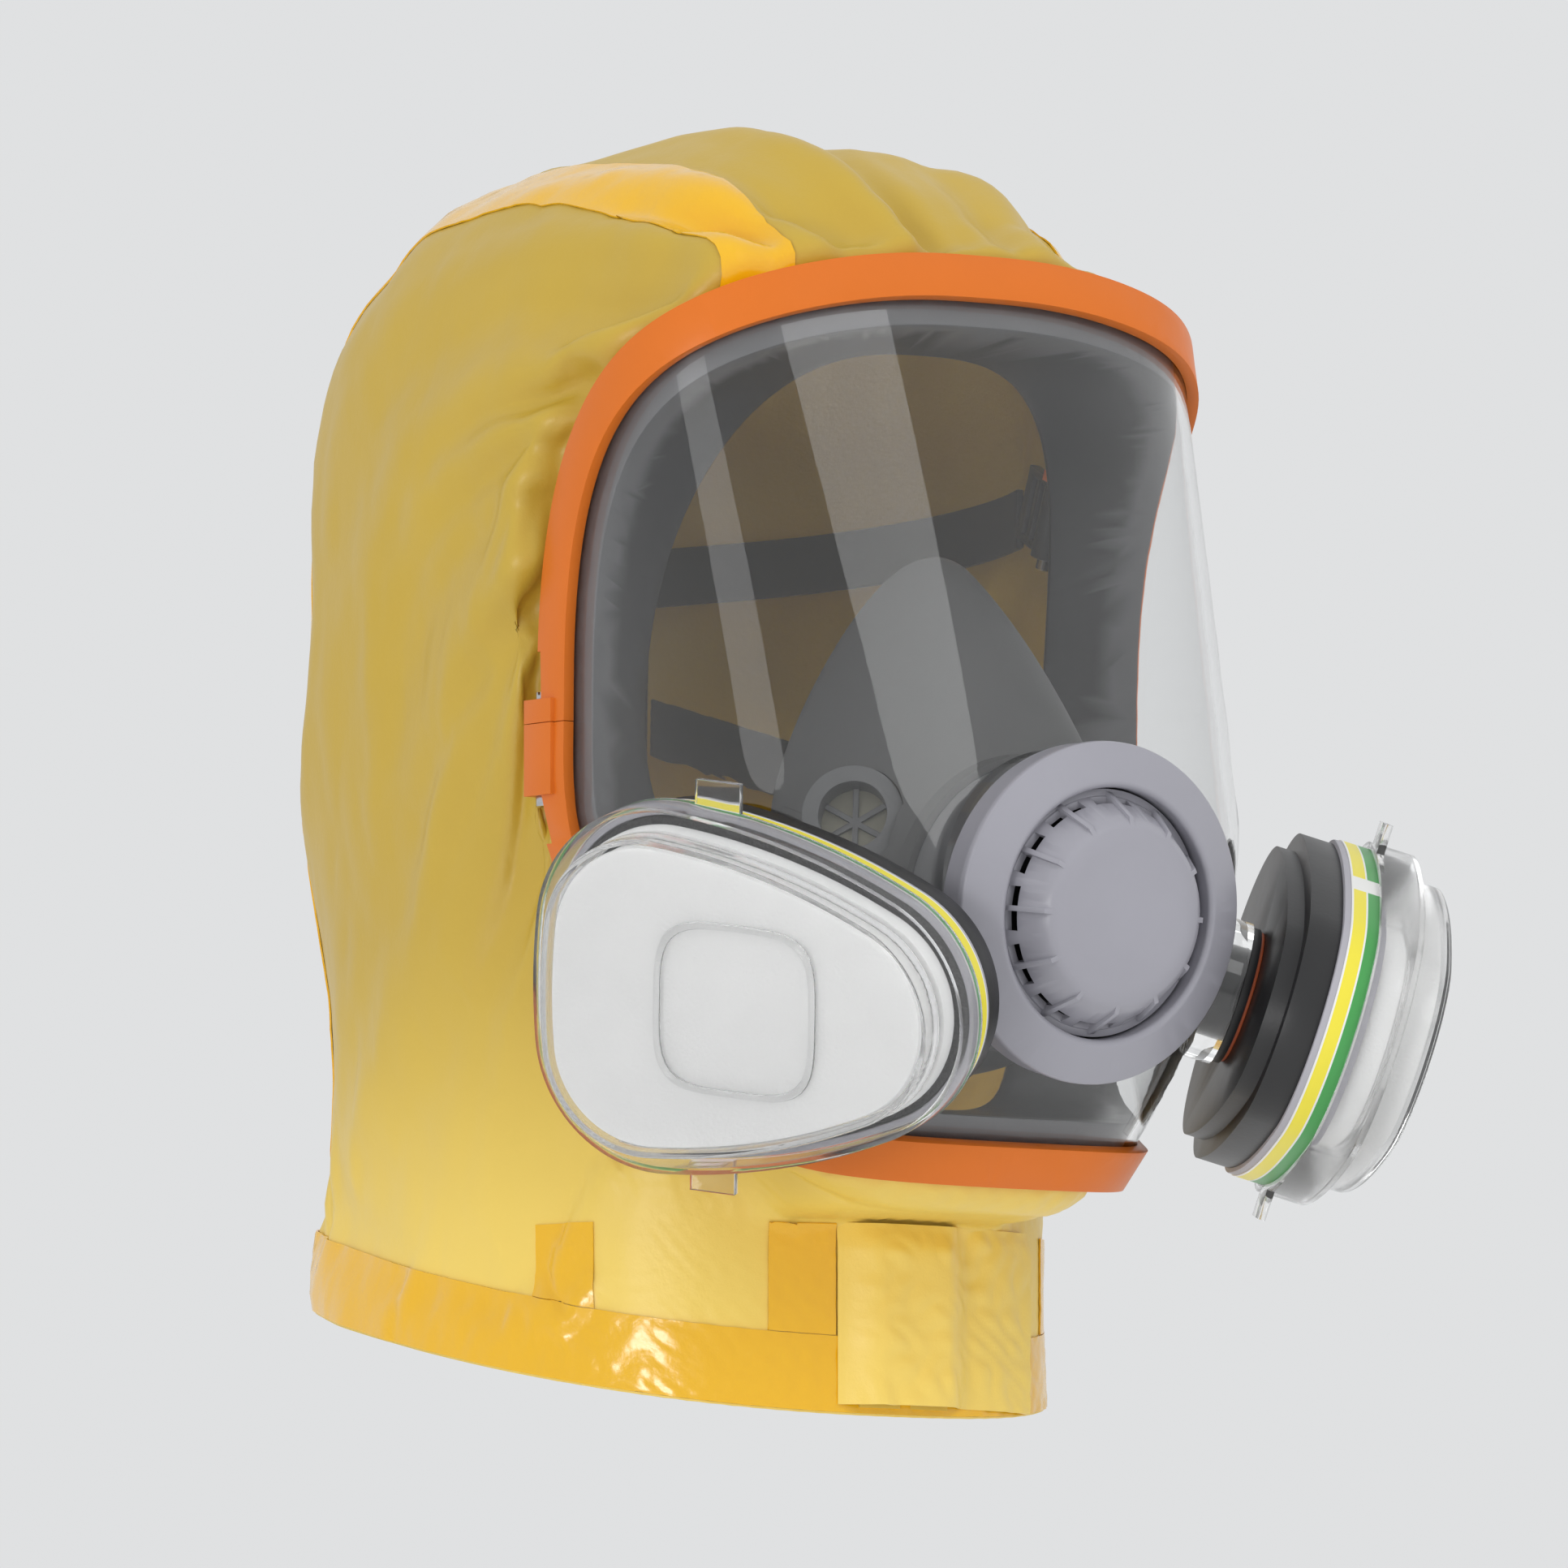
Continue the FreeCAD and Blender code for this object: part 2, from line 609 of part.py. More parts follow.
window_cut = extruded(seat, "seat_window_cut", window, 40, "PartDesign::Pocket", midplane=True)
round_pattern(seat, "seat_windows", window_cut, 6)
placed(seat, PORT)

disc_back, disc_radius = -3.9, seat_land + dim("disc_overlap")
placed(turned("exhalation_flap", [
    (0, disc_back), (disc_radius, disc_back), (disc_radius, dim("disc_wall") + disc_back),
    (2.6, dim("disc_wall") + disc_back), (2, dim("disc_wall") + disc_back + 0.7),
    (0, dim("disc_wall") + disc_back + 0.7)]), PORT)


def make_valve_cover():
    """A shallow louvred dome: a foot that snaps in the ring, a ribbed cone and a plain round top."""
    base = ring_bore - dim("cover_play")
    shoulder = base - dim("cover_foot_wall")
    crown, wall = shoulder - dim("cover_slope"), dim("cover_wall")
    foot, height = dim("cover_foot"), dim("cover_height")
    ribs = int(size("cover_ribs"))
    cover = turned("valve_cover", [
        (shoulder - wall, -0.4), (base, -0.4), (base, foot), (shoulder, foot), (crown + 1, height - 1.6),
        (crown - 1, height - 0.2), (crown - 5, height), (0, height + 0.6), (0, height + 0.6 - wall),
        (crown - 3, height - wall), (crown - wall, height - wall - 1.6), (shoulder - wall, foot)])
    slot = extruded(cover, "cover_slot_cut", sketch_polygon(cover, "cover_slot_plan", "XZ_Plane", [
        (shoulder - 6, foot + 0.4), (shoulder + 3, foot + 0.4), (shoulder + 3, foot + dim("cover_slot")),
        (shoulder - 6, foot + dim("cover_slot"))]), 11, "PartDesign::Pocket", midplane=True)
    round_pattern(cover, "cover_slots", slot, ribs, "cover_ribs")
    rib = extruded(cover, "cover_rib", sketch_polygon(cover, "cover_rib_side", "XZ_Plane", [
        (shoulder - wall * 0.9, foot - 0.5), (shoulder + 1.1, foot - 0.5), (shoulder + 0.9, foot + 1),
        (crown + 1.9, height - 1.4), (crown - 1.2, height - 0.5), (crown - 1.2, height - wall - 1.2)]),
        dim("cover_rib_width"), midplane=True)
    round_pattern(cover, "cover_rib_pattern", rib, ribs, "cover_ribs")
    return cover


placed(make_valve_cover(), PORT)

# ---------------------------------------------------------------- nose cup


def cup_neck(wall, height):
    """A circle of the cup's neck, which grips the end of the port housing."""
    return housing_outer.value + 0.02 + size("cup_wall") - wall, height - size("housing_length")


def cup_loop(share, wall):
    """A section of the nose cup, from the face (share 0) to the start of its neck (share 1)."""
    top, bottom = size("cup_top"), size("cup_bottom")
    middle = (top + bottom) / 2 - 12
    radius, height = cup_neck(wall, -0.5)
    points = []
    for phi in phis():
        c, s = math.cos(phi), math.sin(phi)
        pinch = 1 - 0.2 * smooth_step(max(0.0, s)) ** 1.2
        rim = Vector(c * (size("cup_half_width") * pinch - wall), -size("cup_back") - 10 * abs(s) ** 2,
                     middle + s * ((top - middle if s > 0 else middle - bottom) - wall))
        neck = PORT.multVec(Vector(radius * c, radius * s, height))
        belly = (rim + neck) * 0.5 + Vector(c * 2, -5, s * 3 + (5 if s > 0 else 0))
        points.append(rim * (1 - share) ** 2 + belly * (2 * share * (1 - share)) + neck * share ** 2)
    return loop_wire(points, OUTLINE_PACE)


def make_nose_cup():
    shares = [0, 0.25, 0.5, 0.75, 1]
    wall = size("cup_wall")
    outer = [cup_loop(t, 0) for t in shares]
    inner = [cup_loop(t, wall) for t in shares]
    outer_end, inner_end = [port_loop(*cup_neck(w, size("cup_grip"))) for w in (0, wall)]
    faces = Part.makeLoft(outer, False, False).Faces + Part.makeLoft(inner, False, False).Faces
    edges = (outer[0], inner[0]), (outer[-1], outer_end), (outer_end, inner_end), (inner_end, inner[-1])
    for a, b in edges:
        faces += Part.makeRuledSurface(a, b).Faces
    return sewn_solid(faces)


nose_cup = make_nose_cup()


def cup_valve_frame(side):
    """Placement on the nose cup's outer wall, local Z outward."""
    yaw = math.radians(size("cup_valve_yaw"))
    axis = Vector(side * math.sin(yaw), -math.cos(yaw), 0.2).normalize()
    centre = Vector(side * size("cup_valve_across"), -size("cup_valve_forward"), size("cup_valve_up"))
    hits = Part.makeLine(centre - axis * 30, centre + axis * 40).common(nose_cup).Vertexes
    surface = max((v.Point for v in hits), key=axis.dot)
    return frame_placement(surface, axis, Vector(0, 0, 1))


# ---------------------------------------------------------------- filter mounts and cartridges

def tube_ring(inner, outer, low, high, placement):
    """A plain ring about a filter mount's axis."""
    ring = Part.makeCylinder(outer, high - low, Vector(0, 0, low))
    ring = ring.cut(Part.makeCylinder(inner, high - low, Vector(0, 0, low)))
    ring.Placement = placement
    return ring


def make_mount(side_name, placement):
    """The threaded bayonet tube and its intake flap, with the nut and the gasket that hold and seal it."""
    tube, flange = dim("mount_radius"), dim("mount_radius") + dim("mount_flange")
    bore, inside = tube - dim("mount_wall"), -dim("mount_inside") - dim("nut_wall") - 1.5
    flange_back = -dim("mount_flange_wall") - 1
    mount = turned(f"{side_name}_filter_port", [
        (bore, inside), (tube, inside), (tube, flange_back), (flange, flange_back), (flange, -1), (tube, -1),
        (tube, dim("mount_reach")), (bore, dim("mount_reach"))])
    plan = sketch_polygon(mount, f"{side_name}_port_lug_plan", "XZ_Plane", [
        (tube - 1, dim("mount_reach") - dim("bayonet_lug")),
        (tube + dim("lug_reach"), dim("mount_reach") - dim("bayonet_lug")),
        (tube + dim("lug_reach"), dim("mount_reach")), (tube - 1, dim("mount_reach"))])
    lug = extruded(mount, f"{side_name}_port_lug", plan, dim("bayonet_lug_width"), midplane=True)
    round_pattern(mount, f"{side_name}_port_lugs", lug, 3)
    placed(mount, placement)
    flap_front, flap_edge = inside - 0.1, bore + dim("intake_overlap")
    placed(turned(f"{side_name}_intake_flap", [
        (0, flap_front - dim("intake_wall")), (flap_edge, flap_front - dim("intake_wall")),
        (flap_edge, flap_front), (0, flap_front)]), placement)
    tube, nut_front = size("mount_radius"), -size("mount_inside") - 0.05
    nut_back = nut_front - size("nut_wall")
    nut = tube_ring(tube + 0.02, tube + size("nut_width"), nut_back, nut_front, placement)
    gasket = tube_ring(tube + 0.1, tube + size("mount_flange") - 0.6, -0.98, -0.06, placement)
    return nut, gasket


def egg_corners():
    back, side, nose = size("egg_back"), size("egg_back_side"), size("egg_nose")
    return [(Vector(nose, 0, 0), size("egg_nose_radius")), (Vector(-back, side, 0), size("egg_back_radius")),
            (Vector(-back, -side, 0), size("egg_back_radius"))]


def bulge_centre(a, radius_a, b, radius_b):
    """Centre of the large arc that touches both corner circles from outside, inside the line a-b."""
    reach_a, reach_b = size("egg_bulge") - radius_a, size("egg_bulge") - radius_b
    gap = (b - a).Length
    along = (reach_a ** 2 - reach_b ** 2 + gap ** 2) / (2 * gap)
    unit = (b - a).normalize()
    inner = Vector(-unit.y, unit.x, 0)
    return a + unit * along + inner * math.sqrt(reach_a ** 2 - along ** 2)


def egg_face(inset, height):
    """The egg outline, moved inward by inset, as a face at a height."""
    corners = egg_corners()
    count = len(corners)
    centres = [bulge_centre(*corners[i], *corners[(i + 1) % count]) for i in range(count)]
    edges = []
    for i, (corner, radius) in enumerate(corners):
        before, after = centres[i - 1], centres[i]
        radius -= inset
        first = corner + (corner - before).normalize() * radius
        last = corner + (corner - after).normalize() * radius
        crest = corner + ((first - corner) + (last - corner)).normalize() * radius
        edges.append(Part.Arc(first, crest, last).toShape())
        next_corner, next_radius = corners[(i + 1) % count]
        arrive = next_corner + (next_corner - after).normalize() * (next_radius - inset)
        middle = after + ((last - after) + (arrive - after)).normalize() * (size("egg_bulge") - inset)
        edges.append(Part.Arc(last, middle, arrive).toShape())
    face = Part.Face(Part.Wire(edges))
    face.translate(Vector(0, 0, height))
    return face


def egg_block(inset, low, high):
    return egg_face(inset, low).extrude(Vector(0, 0, high - low))


def egg_shell(inset, wall, low, high):
    return egg_block(inset, low, high).cut(egg_block(inset + wall, low - 1, high + 1))


def make_base():
    """Black base with the bayonet socket: a bore with three notches, then the cavity the lugs turn in."""
    play, reach = size("socket_play"), size("mount_radius") + size("lug_reach")
    base = egg_block(size("foot_inset"), 0, size("foot_height"))
    base = base.fuse(egg_block(size("base_inset"), size("foot_height"), size("base_height")))
    lug_floor = size("mount_reach") - size("bayonet_lug") - play
    base = base.cut(Part.makeCylinder(size("mount_radius") + play, 40, Vector(0, 0, -10)))
    half = size("bayonet_lug_width") / 2 + play
    cavity = math.hypot(reach, half) + play
    cavity_depth = size("mount_reach") + play - lug_floor
    base = base.cut(Part.makeCylinder(cavity, cavity_depth, Vector(0, 0, lug_floor)))
    for step in range(3):
        notch = box_between((0, -half, -1), (reach + play, half, lug_floor + 1))
        notch.rotate(Vector(0, 0, 0), Vector(0, 0, 1), 120 * step - size("bayonet_turn"))
        base = base.cut(notch)
    return base.removeSplitter()


def retainer_low():
    """Height of the clear retainer's open edge, which laps over the can."""
    return size("base_height") + size("can_height") - size("skirt_overlap")


def make_retainer():
    """A clear stepped cap that snaps over the can, with a pull tab on each side."""
    low, wall = retainer_low(), size("retainer_wall")
    shoulder, inset = low + size("skirt_height"), size("cap_inset")
    top = shoulder + size("cap_height")
    outside = -size("label_wall") - size("socket_play")
    skirt = egg_shell(outside - wall, wall, low, shoulder)
    step = egg_shell(outside - wall, inset + 2.2 + wall, shoulder - wall, shoulder)
    cap = egg_block(inset, shoulder - wall, top)
    cap = cap.cut(egg_block(inset + wall, shoulder - wall - 1, top - wall))
    retainer = skirt.fuse(step).fuse(rounded_rim(cap, top))
    across = size("egg_back_side") + size("egg_back_radius") - 3
    centre, half = size("tab_at") - size("egg_back"), size("tab_width") / 2
    for way in (-1, 1):
        near, far = way * across, way * (across + size("tab_reach") + 3)
        tab_high = low + size("tab_wall")
        tab = box_between((centre - half, min(near, far), low), (centre + half, max(near, far), tab_high))
        retainer = retainer.fuse(tab.cut(egg_block(outside, low - 1, low + 10)))
    return retainer.removeSplitter()


def rounded_rim(cap, height):
    """Rounds the outer edge of the cap's flat face."""
    rim = [e for e in cap.Edges if max(abs(e.BoundBox.ZMin - height), abs(e.BoundBox.ZMax - height)) < 1e-6]
    return cap.makeFillet(min(size("cap_rim"), size("retainer_wall") * 0.9), rim)


def make_cartridge(side_name, placement):
    base_top, can_top = size("base_height"), size("base_height") + size("can_height")
    wall = size("can_wall")
    shaped(f"{side_name}_filter_base", make_base(), placement)
    can = egg_shell(0, wall, base_top, can_top).fuse(
        egg_block(wall - 0.01, base_top, base_top + wall).cut(Part.makeCylinder(size("mount_radius"), 40)))
    shaped(f"{side_name}_filter_can", can.removeSplitter(), placement)
    band_low = base_top + (size("can_height") - size("label_height")) / 2
    band_high = band_low + size("label_height")
    shaped(f"{side_name}_filter_label",
           egg_shell(-size("label_wall"), size("label_wall") - 0.02, band_low, band_high), placement)
    shaped(f"{side_name}_charcoal_bed",
           egg_block(wall + size("bed_gap"), base_top + wall + 0.1, can_top - 0.3), placement)
    shoulder, gap = retainer_low() + size("skirt_height"), size("pad_gap")
    lower_pad = egg_block(size("pad_inset"), can_top + 0.1, shoulder - size("retainer_wall") - gap / 2)
    upper_pad = egg_block(size("cap_inset") + size("retainer_wall") + gap, can_top + 1,
                          shoulder + size("cap_height") - size("retainer_wall") - gap)
    shaped(f"{side_name}_particle_pad", lower_pad.fuse(upper_pad).removeSplitter(), placement)
    shaped(f"{side_name}_retainer", make_retainer(), placement)


nuts_and_gaskets = []
for side_name, side in SIDES:
    nuts_and_gaskets.append(make_mount(side_name, filter_frame(side)))
    make_cartridge(side_name, filter_frame(side))
for label, pair in zip(("filter_port_nuts", "filter_port_gaskets"), zip(*nuts_and_gaskets)):
    shaped(label, Part.makeCompound(list(pair)))


def make_cup_valves():
    """Spoked seats let into the nose cup's cheeks, with a thin flap behind each."""
    seats, cup = [], nose_cup
    radius, back = size("cup_valve_radius"), size("cup_seat_depth")
    bore, body = radius - size("cup_seat_rim"), radius - 1.65
    for side_name, side in SIDES:
        place = cup_valve_frame(side)
        hole = Part.makeCylinder(body + size("fit_gap"), 40, Vector(0, 0, -20))
        seat = Part.makeCylinder(body, back + 1.6, Vector(0, 0, -back))
        seat = seat.fuse(Part.makeCylinder(radius, 1.8, Vector(0, 0, 0.6)))
        pierced = Part.makeCylinder(bore, 30, Vector(0, 0, -15))
        for step in range(3):
            bar = box_between((-bore - 0.5, -0.7, -back), (bore + 0.5, 0.7, -back + 1.4))
            bar.rotate(Vector(0, 0, 0), Vector(0, 0, 1), 60 * step)
            pierced = pierced.cut(bar)
        collar = Part.makeCylinder(radius + 0.3, 4, Vector(0, 0, 0.5))
        hole.Placement = seat.Placement = pierced.Placement = collar.Placement = place
        cup = cup.cut(hole).cut(collar)
        seats.append(seat.cut(pierced))
        wall = size("cup_flap_wall")
        flap = Part.makeCylinder(bore + size("cup_flap_overlap"), wall, Vector(0, 0, -back - 0.1 - wall))
        shaped(f"{side_name}_cup_flap", flap, place)
    return largest(cup), Part.makeCompound(seats)


cup_with_holes, cup_seats = make_cup_valves()
shaped("nose_cup", cup_with_holes)
shaped("cup_valve_seats", cup_seats)

doc.recompute()

# ---------------------------------------------------------------- hood surface

HOOD_POWER = 2.4
CROWN_POWER = 2.7


def hood_section(z, grow=0.0):
    """Centre, half width and half depth of the hood's horizontal section at a height."""
    rise = smooth_step((z - size("throat_height")) / (size("head_height") - size("throat_height")))
    a = size("neck_half_width") + (size("head_half_width") - size("neck_half_width")) * rise + grow
    b = size("neck_half_depth") + (size("head_half_depth") - size("neck_half_depth")) * rise + grow
    crown_start, top = size("head_height") + size("crown_shoulder"), size("hood_height") + grow
    u = max(0.0, (z - crown_start) / (top - crown_start))
    close = (1 - min(u, 1.0) ** CROWN_POWER) ** (1 / CROWN_POWER)
    return -size("head_back_shift") * rise, a * close, b * close


def hood_point(turn, z, grow=0.0):
    """The hood's surface at an angle from straight ahead and a height, moved outward by grow."""
    centre, a, b = hood_section(z, grow)
    s, c = math.sin(turn), math.cos(turn)
    r = (abs(s / a) ** HOOD_POWER + abs(c / b) ** HOOD_POWER) ** (-1 / HOOD_POWER)
    return Vector(r * s, centre - r * c, z)


def hood_solid(grow, bottom):
    """The hood's filled form, from a height under the hem to the crown."""
    top = size("hood_height") + grow - 1.5
    neck_end, crown_start = size("throat_height") - 4, size("head_height") + size("crown_shoulder")
    neck = [bottom + (neck_end - bottom) * i / 6 for i in range(7)]
    side = [size("throat_height") + (crown_start - size("throat_height")) * i / 7 for i in range(8)]
    crown = [crown_start + (top - crown_start) * math.sin(math.pi / 2 * i / 7) for i in range(1, 8)]
    wires = [loop_wire([hood_point(phi, z, grow) for phi in phis()]) for z in neck + side + crown]
    return Part.makeLoft(wires, True, False)


def chin_solid(back, bottom):
    """The volume a set distance behind the mask's surface, closed flat under the chin."""
    top = size("mask_top") + 2
    wires = []
    for i in range(10):
        z = bottom + (top - bottom) * i / 9
        points = []
        for phi in phis():
            s, c = math.sin(phi), math.cos(phi)
            a, b = mask_half_width(z) - back, (mask_depth(z) - back if c > 0 else 30 - back)
            r = (abs(s / a) ** SECTION_POWER + abs(c / b) ** SECTION_POWER) ** (-1 / SECTION_POWER)
            points.append(Vector(r * s, -size("mask_side") - r * c, z))
        wires.append(loop_wire(points))
    return Part.makeLoft(wires, True, False)


def hem_height(point):
    """The neck seam runs in a plane that rises from the throat to the nape."""
    return size("hem_rise") * (point.y + size("neck_half_depth")) / (2 * size("neck_half_depth"))


def below_hem(drop):
    """The space under the neck seam's plane."""
    half = size("neck_half_depth")
    low, high = -drop - size("hem_rise") * 60 / (2 * half), size("hem_rise") * (1 + 60 / (2 * half)) - drop
    side = Part.makePolygon([Vector(-200, -half - 60, -200), Vector(-200, half + 60, -200),
                             Vector(-200, half + 60, high), Vector(-200, -half - 60, low),
                             Vector(-200, -half - 60, -200)])
    return Part.Face(side).extrude(Vector(400, 0, 0))


def shifted_loop(inward, outward, shift):
    points = []
    for phi in phis():
        here, side, normal = outline_frame(phi)
        points.append(here + side * inward + normal * outward + shift)
    return loop_wire(points, OUTLINE_PACE)


def small_loop(y):
    points = [Vector(math.cos(p), y, size("mask_middle") + math.sin(p)) for p in phis()]
    return loop_wire(points, OUTLINE_PACE)


def front_plug(inward, back):
    """Everything ahead of the face opening, inside a line a set distance in from the frame's outline."""
    return ring_solid([
        shifted_loop(inward, back, Vector()), shifted_loop(inward, 12, Vector()),
        shifted_loop(inward, 12, Vector(0, -220, 0)), small_loop(-320), small_loop(-62)])


hem_low, hem_high = -size("hem_out"), size("hem_in")
hem_front = -size("frame_back") - size("hem_gap")
hem_back = hem_front - size("hem_casing_depth")


def make_hood_panels():
    """The hood's wall, the panel under the chin, and the collar that draws both in to the clamp frame."""
    wall, back = size("fabric_wall"), size("frame_back") + 1.2
    under = size("mask_bottom") - size("chin_drop")
    hood_outside, hood_inside = hood_solid(0, -30), hood_solid(-wall, -40)
    chin_outside, chin_inside = chin_solid(back, under), chin_solid(back + wall, under + wall)
    opening = front_plug(hem_low, hem_back - 1)
    hood = hood_outside.cut(hood_inside).cut(chin_inside).cut(opening).cut(below_hem(0))
    chin = chin_outside.cut(chin_inside).cut(hood_outside).cut(opening)
    foot = hem_low - 1.5
    collar = section_ring([(foot, 25), (hem_low, 25), (hem_low, hem_back), (foot, hem_back)])
    collar = collar.common(hood_inside.fuse(chin_inside))
    return largest(hood), largest(chin), largest(collar)


for label, panel in zip(("hood_shell", "chin_gusset", "face_collar"), make_hood_panels()):
    shaped(label, panel)
wall = size("casing_wall")
casing_low = hem_low + size("collar_clearance")
casing_outer = section_ring([
    (casing_low, hem_front), (hem_high, hem_front), (hem_high, hem_back), (casing_low, hem_back)])
casing_inner = section_ring([(casing_low + wall, hem_front - wall), (hem_high - wall, hem_front - wall),
                             (hem_high - wall, hem_back + wall), (casing_low + wall, hem_back + wall)])
shaped("face_hem", casing_outer.cut(casing_inner))
middle, half_width = (casing_low + hem_high) / 2, size("elastic_width") / 2
elastic_front = (hem_front + hem_back) / 2 + size("elastic_depth") / 2
elastic_back = elastic_front - size("elastic_depth")
shaped("face_elastic", section_ring([
    (middle - half_width, elastic_front), (middle + half_width, elastic_front),
    (middle + half_width, elastic_back), (middle - half_width, elastic_back)]))

# ---------------------------------------------------------------- seam tapes and throat closure


def patch_solid(surface, low_turn, high_turn, low, high, inside, outside, steps=24):
    """A curved plate on a surface function (turn, height, grow): low and high may depend on the turn."""
    def edge(height, grow):
        curve = Part.BSplineCurve()
        turns = [low_turn + (high_turn - low_turn) * i / steps for i in range(steps + 1)]
        curve.interpolate([surface(t, height(t) if callable(height) else height, grow) for t in turns])
        return curve.toShape()
    corners = [edge(low, inside), edge(high, inside), edge(high, outside), edge(low, outside)]
    faces = []
    for a, b in zip(corners, corners[1:] + corners[:1]):
        faces += Part.makeRuledSurface(Part.Wire(a), Part.Wire(b)).Faces
    for end in (0, -1):
        points = [c.Vertexes[end].Point for c in corners]
        near, far = Part.makeLine(points[0], points[1]), Part.makeLine(points[3], points[2])
        faces.append(Part.makeRuledSurface(near, far))
    return sewn_solid(faces)


def hem_at(turn):
    return hem_height(hood_point(turn, 0))


gap, tape = size("tape_gap"), size("tape_wall")
tape_height = size("hem_tape_height")


def seam_loop(grow, rise):
    points = []
    for phi in phis():
        p = hood_point(phi, 10, grow)
        points.append(Vector(p.x, p.y, hem_at(phi) + rise))
    return loop_wire(points)


shaped("neck_seam_tape", ring_solid([
    seam_loop(gap, 0.4), seam_loop(gap + tape, 0.4),
    seam_loop(gap + tape, tape_height), seam_loop(gap, tape_height)]))

tape_layer = hood_solid(gap + tape, -10).cut(hood_solid(gap, -20))
tape_clear = front_plug(hem_low - 8, hem_front - 30).fuse(chin_solid(1, 20))
for side_name, side in SIDES:
    x = side * size("crown_seam")
    half = size("tape_width") / 2
    foot, top = size("throat_height") + 2, size("hood_height") + 50
    slab = box_between((x - half, -250, foot), (x + half, 250, top))
    strip = tape_layer.common(slab).cut(tape_clear)
    shaped(f"crown_tape_{side_name}", largest(strip))


def neck_turn(arc):
    """The angle at which an arc length along the neck, from the front centre, ends."""
    turn, length, step = 0.0, 0.0, 0.002
    while length < abs(arc):
        length += (hood_point(turn + step, 10) - hood_point(turn, 10)).Length
        turn += step
    return turn if arc > 0 else -turn


def throat_strip(label, start, width, low, high, inside, outside):
    """A vertical strip on the throat, between two arc lengths from the front centre."""
    first, last = neck_turn(start), neck_turn(start + width)
    shaped(label, patch_solid(hood_point, first, last, low, high, inside, outside, 12))


def above_seam_tape(turn):
    return hem_at(turn) + tape_height + 0.5


throat_top = size("mask_bottom") - size("chin_drop") - size("throat_clearance")
flap_end = size("flap_root") + size("flap_width")
for label, start in (("throat_tape_right", -size("throat_tape_right_at")),
                     ("flap_tape", size("flap_root") - size("tape_width")),
                     ("throat_tape_left", flap_end + size("left_tape_gap"))):
    throat_strip(label, start, size("tape_width"), above_seam_tape, throat_top, gap, gap + tape)

zip_at = size("zip_at")
zip_low, zip_high = size("zip_foot"), throat_top
zip_base = gap + tape + 0.2
zip_face = zip_base + size("zip_tape_wall")
half_gap = size("zip_gap") / 2
band = size("zip_tape_width")
bands = [patch_solid(hood_point, neck_turn(zip_at + near), neck_turn(zip_at + near + band),
                     zip_low, zip_high, zip_base, zip_face, 8)
         for near in (half_gap, -half_gap - band)]
shaped("zip_tapes", Part.makeCompound(bands))


def neck_frame(arc, z):
    """Placement on the neck's surface: local Y outward, Z up."""
    turn = neck_turn(arc)
    here = hood_point(turn, z)
    ahead = (hood_point(turn + 0.01, z) - hood_point(turn - 0.01, z)).normalize()
    outward = Vector(ahead.y, -ahead.x, 0)
    turned_so = FreeCAD.Rotation(-ahead, outward, Vector(0, 0, 1), "ZXY")
    return FreeCAD.Placement(Vector(here.x, here.y, 0), turned_so)


zip_place = neck_frame(zip_at, 0)
tooth = size("zip_tooth")
half_chain = half_gap - 0.45
chain = box_between((-half_chain, zip_base, zip_low + 1), (half_chain, zip_base + 0.9, zip_high - 1))
tooth_count = int((zip_high - zip_low - 3) / size("zip_pitch"))
for i in range(tooth_count):
    z = zip_low + 1.5 + i * size("zip_pitch")
    for way in (-1, 1):
        low_x, high_x = (-2.6, 0.5) if way < 0 else (-0.5, 2.6)
        z_way = z + (0 if way < 0 else size("zip_pitch") / 2)
        tooth_back = zip_face + 0.25
        tooth_box = box_between((low_x, tooth_back, z_way), (high_x, tooth_back + tooth, z_way + 1.1))
        chain = chain.fuse(tooth_box)
chain = chain.fuse(box_between((-0.9, zip_base + 0.4, zip_low + 1), (0.9, zip_face + 0.8, zip_high - 1)))
shaped("zip_teeth", chain, zip_place)

slider_front = zip_face + 0.25 + tooth + size("slider_play")
half_slider, slider_wall = size("slider_width") / 2, size("slider_wall")
slider_low, slider_high = zip_high - 2 - size("slider_length"), zip_high - 2
slider_face = slider_front + slider_wall
slider = box_between((-half_slider, slider_front, slider_low), (half_slider, slider_face, slider_high))
for way in (-1, 1):
    near, far = sorted((way * (half_slider - slider_wall), way * half_slider))
    cheek = box_between((near, zip_face + 0.35, slider_low), (far, slider_front + 0.2, slider_high))
    slider = slider.fuse(cheek)
notch = box_between((-10, -5, slider_low - 1), (-half_slider + 1.4, slider_front - 0.2, slider_low + 2))
slider = slider.cut(notch)
half_pull, pull_top = size("pull_width") / 2, slider_high - 3
pull = box_between((-half_pull, slider_face - 0.02, pull_top - size("pull_length")),
                   (half_pull, slider_face + 1.2, pull_top))
eye = Part.makeCylinder(1.6, 20, Vector(0, -5, slider_high - size("pull_length") + 1), Vector(0, 1, 0))
eye = eye.common(box_between((-10, slider_front + slider_wall, -100), (10, 60, 100)))
shaped("zip_slider", slider.fuse(pull).cut(eye).removeSplitter(), zip_place)

flap_inside = size("flap_stand")
shaped("storm_flap", patch_solid(
    hood_point, neck_turn(size("flap_root") + 0.4), neck_turn(flap_end),
    size("flap_foot"), throat_top, flap_inside, flap_inside + size("flap_wall"), 16))

# ---------------------------------------------------------------- head harness


def harness_oval():
    """Half width, half depth and centre of the oval that the harness lies on, round the wearer's head."""
    half_width = size("head_half_width") - size("harness_side_gap")
    half_depth = size("head_half_depth") - size("harness_back_gap")
    return half_width, half_depth, size("harness_forward") - size("head_back_shift")


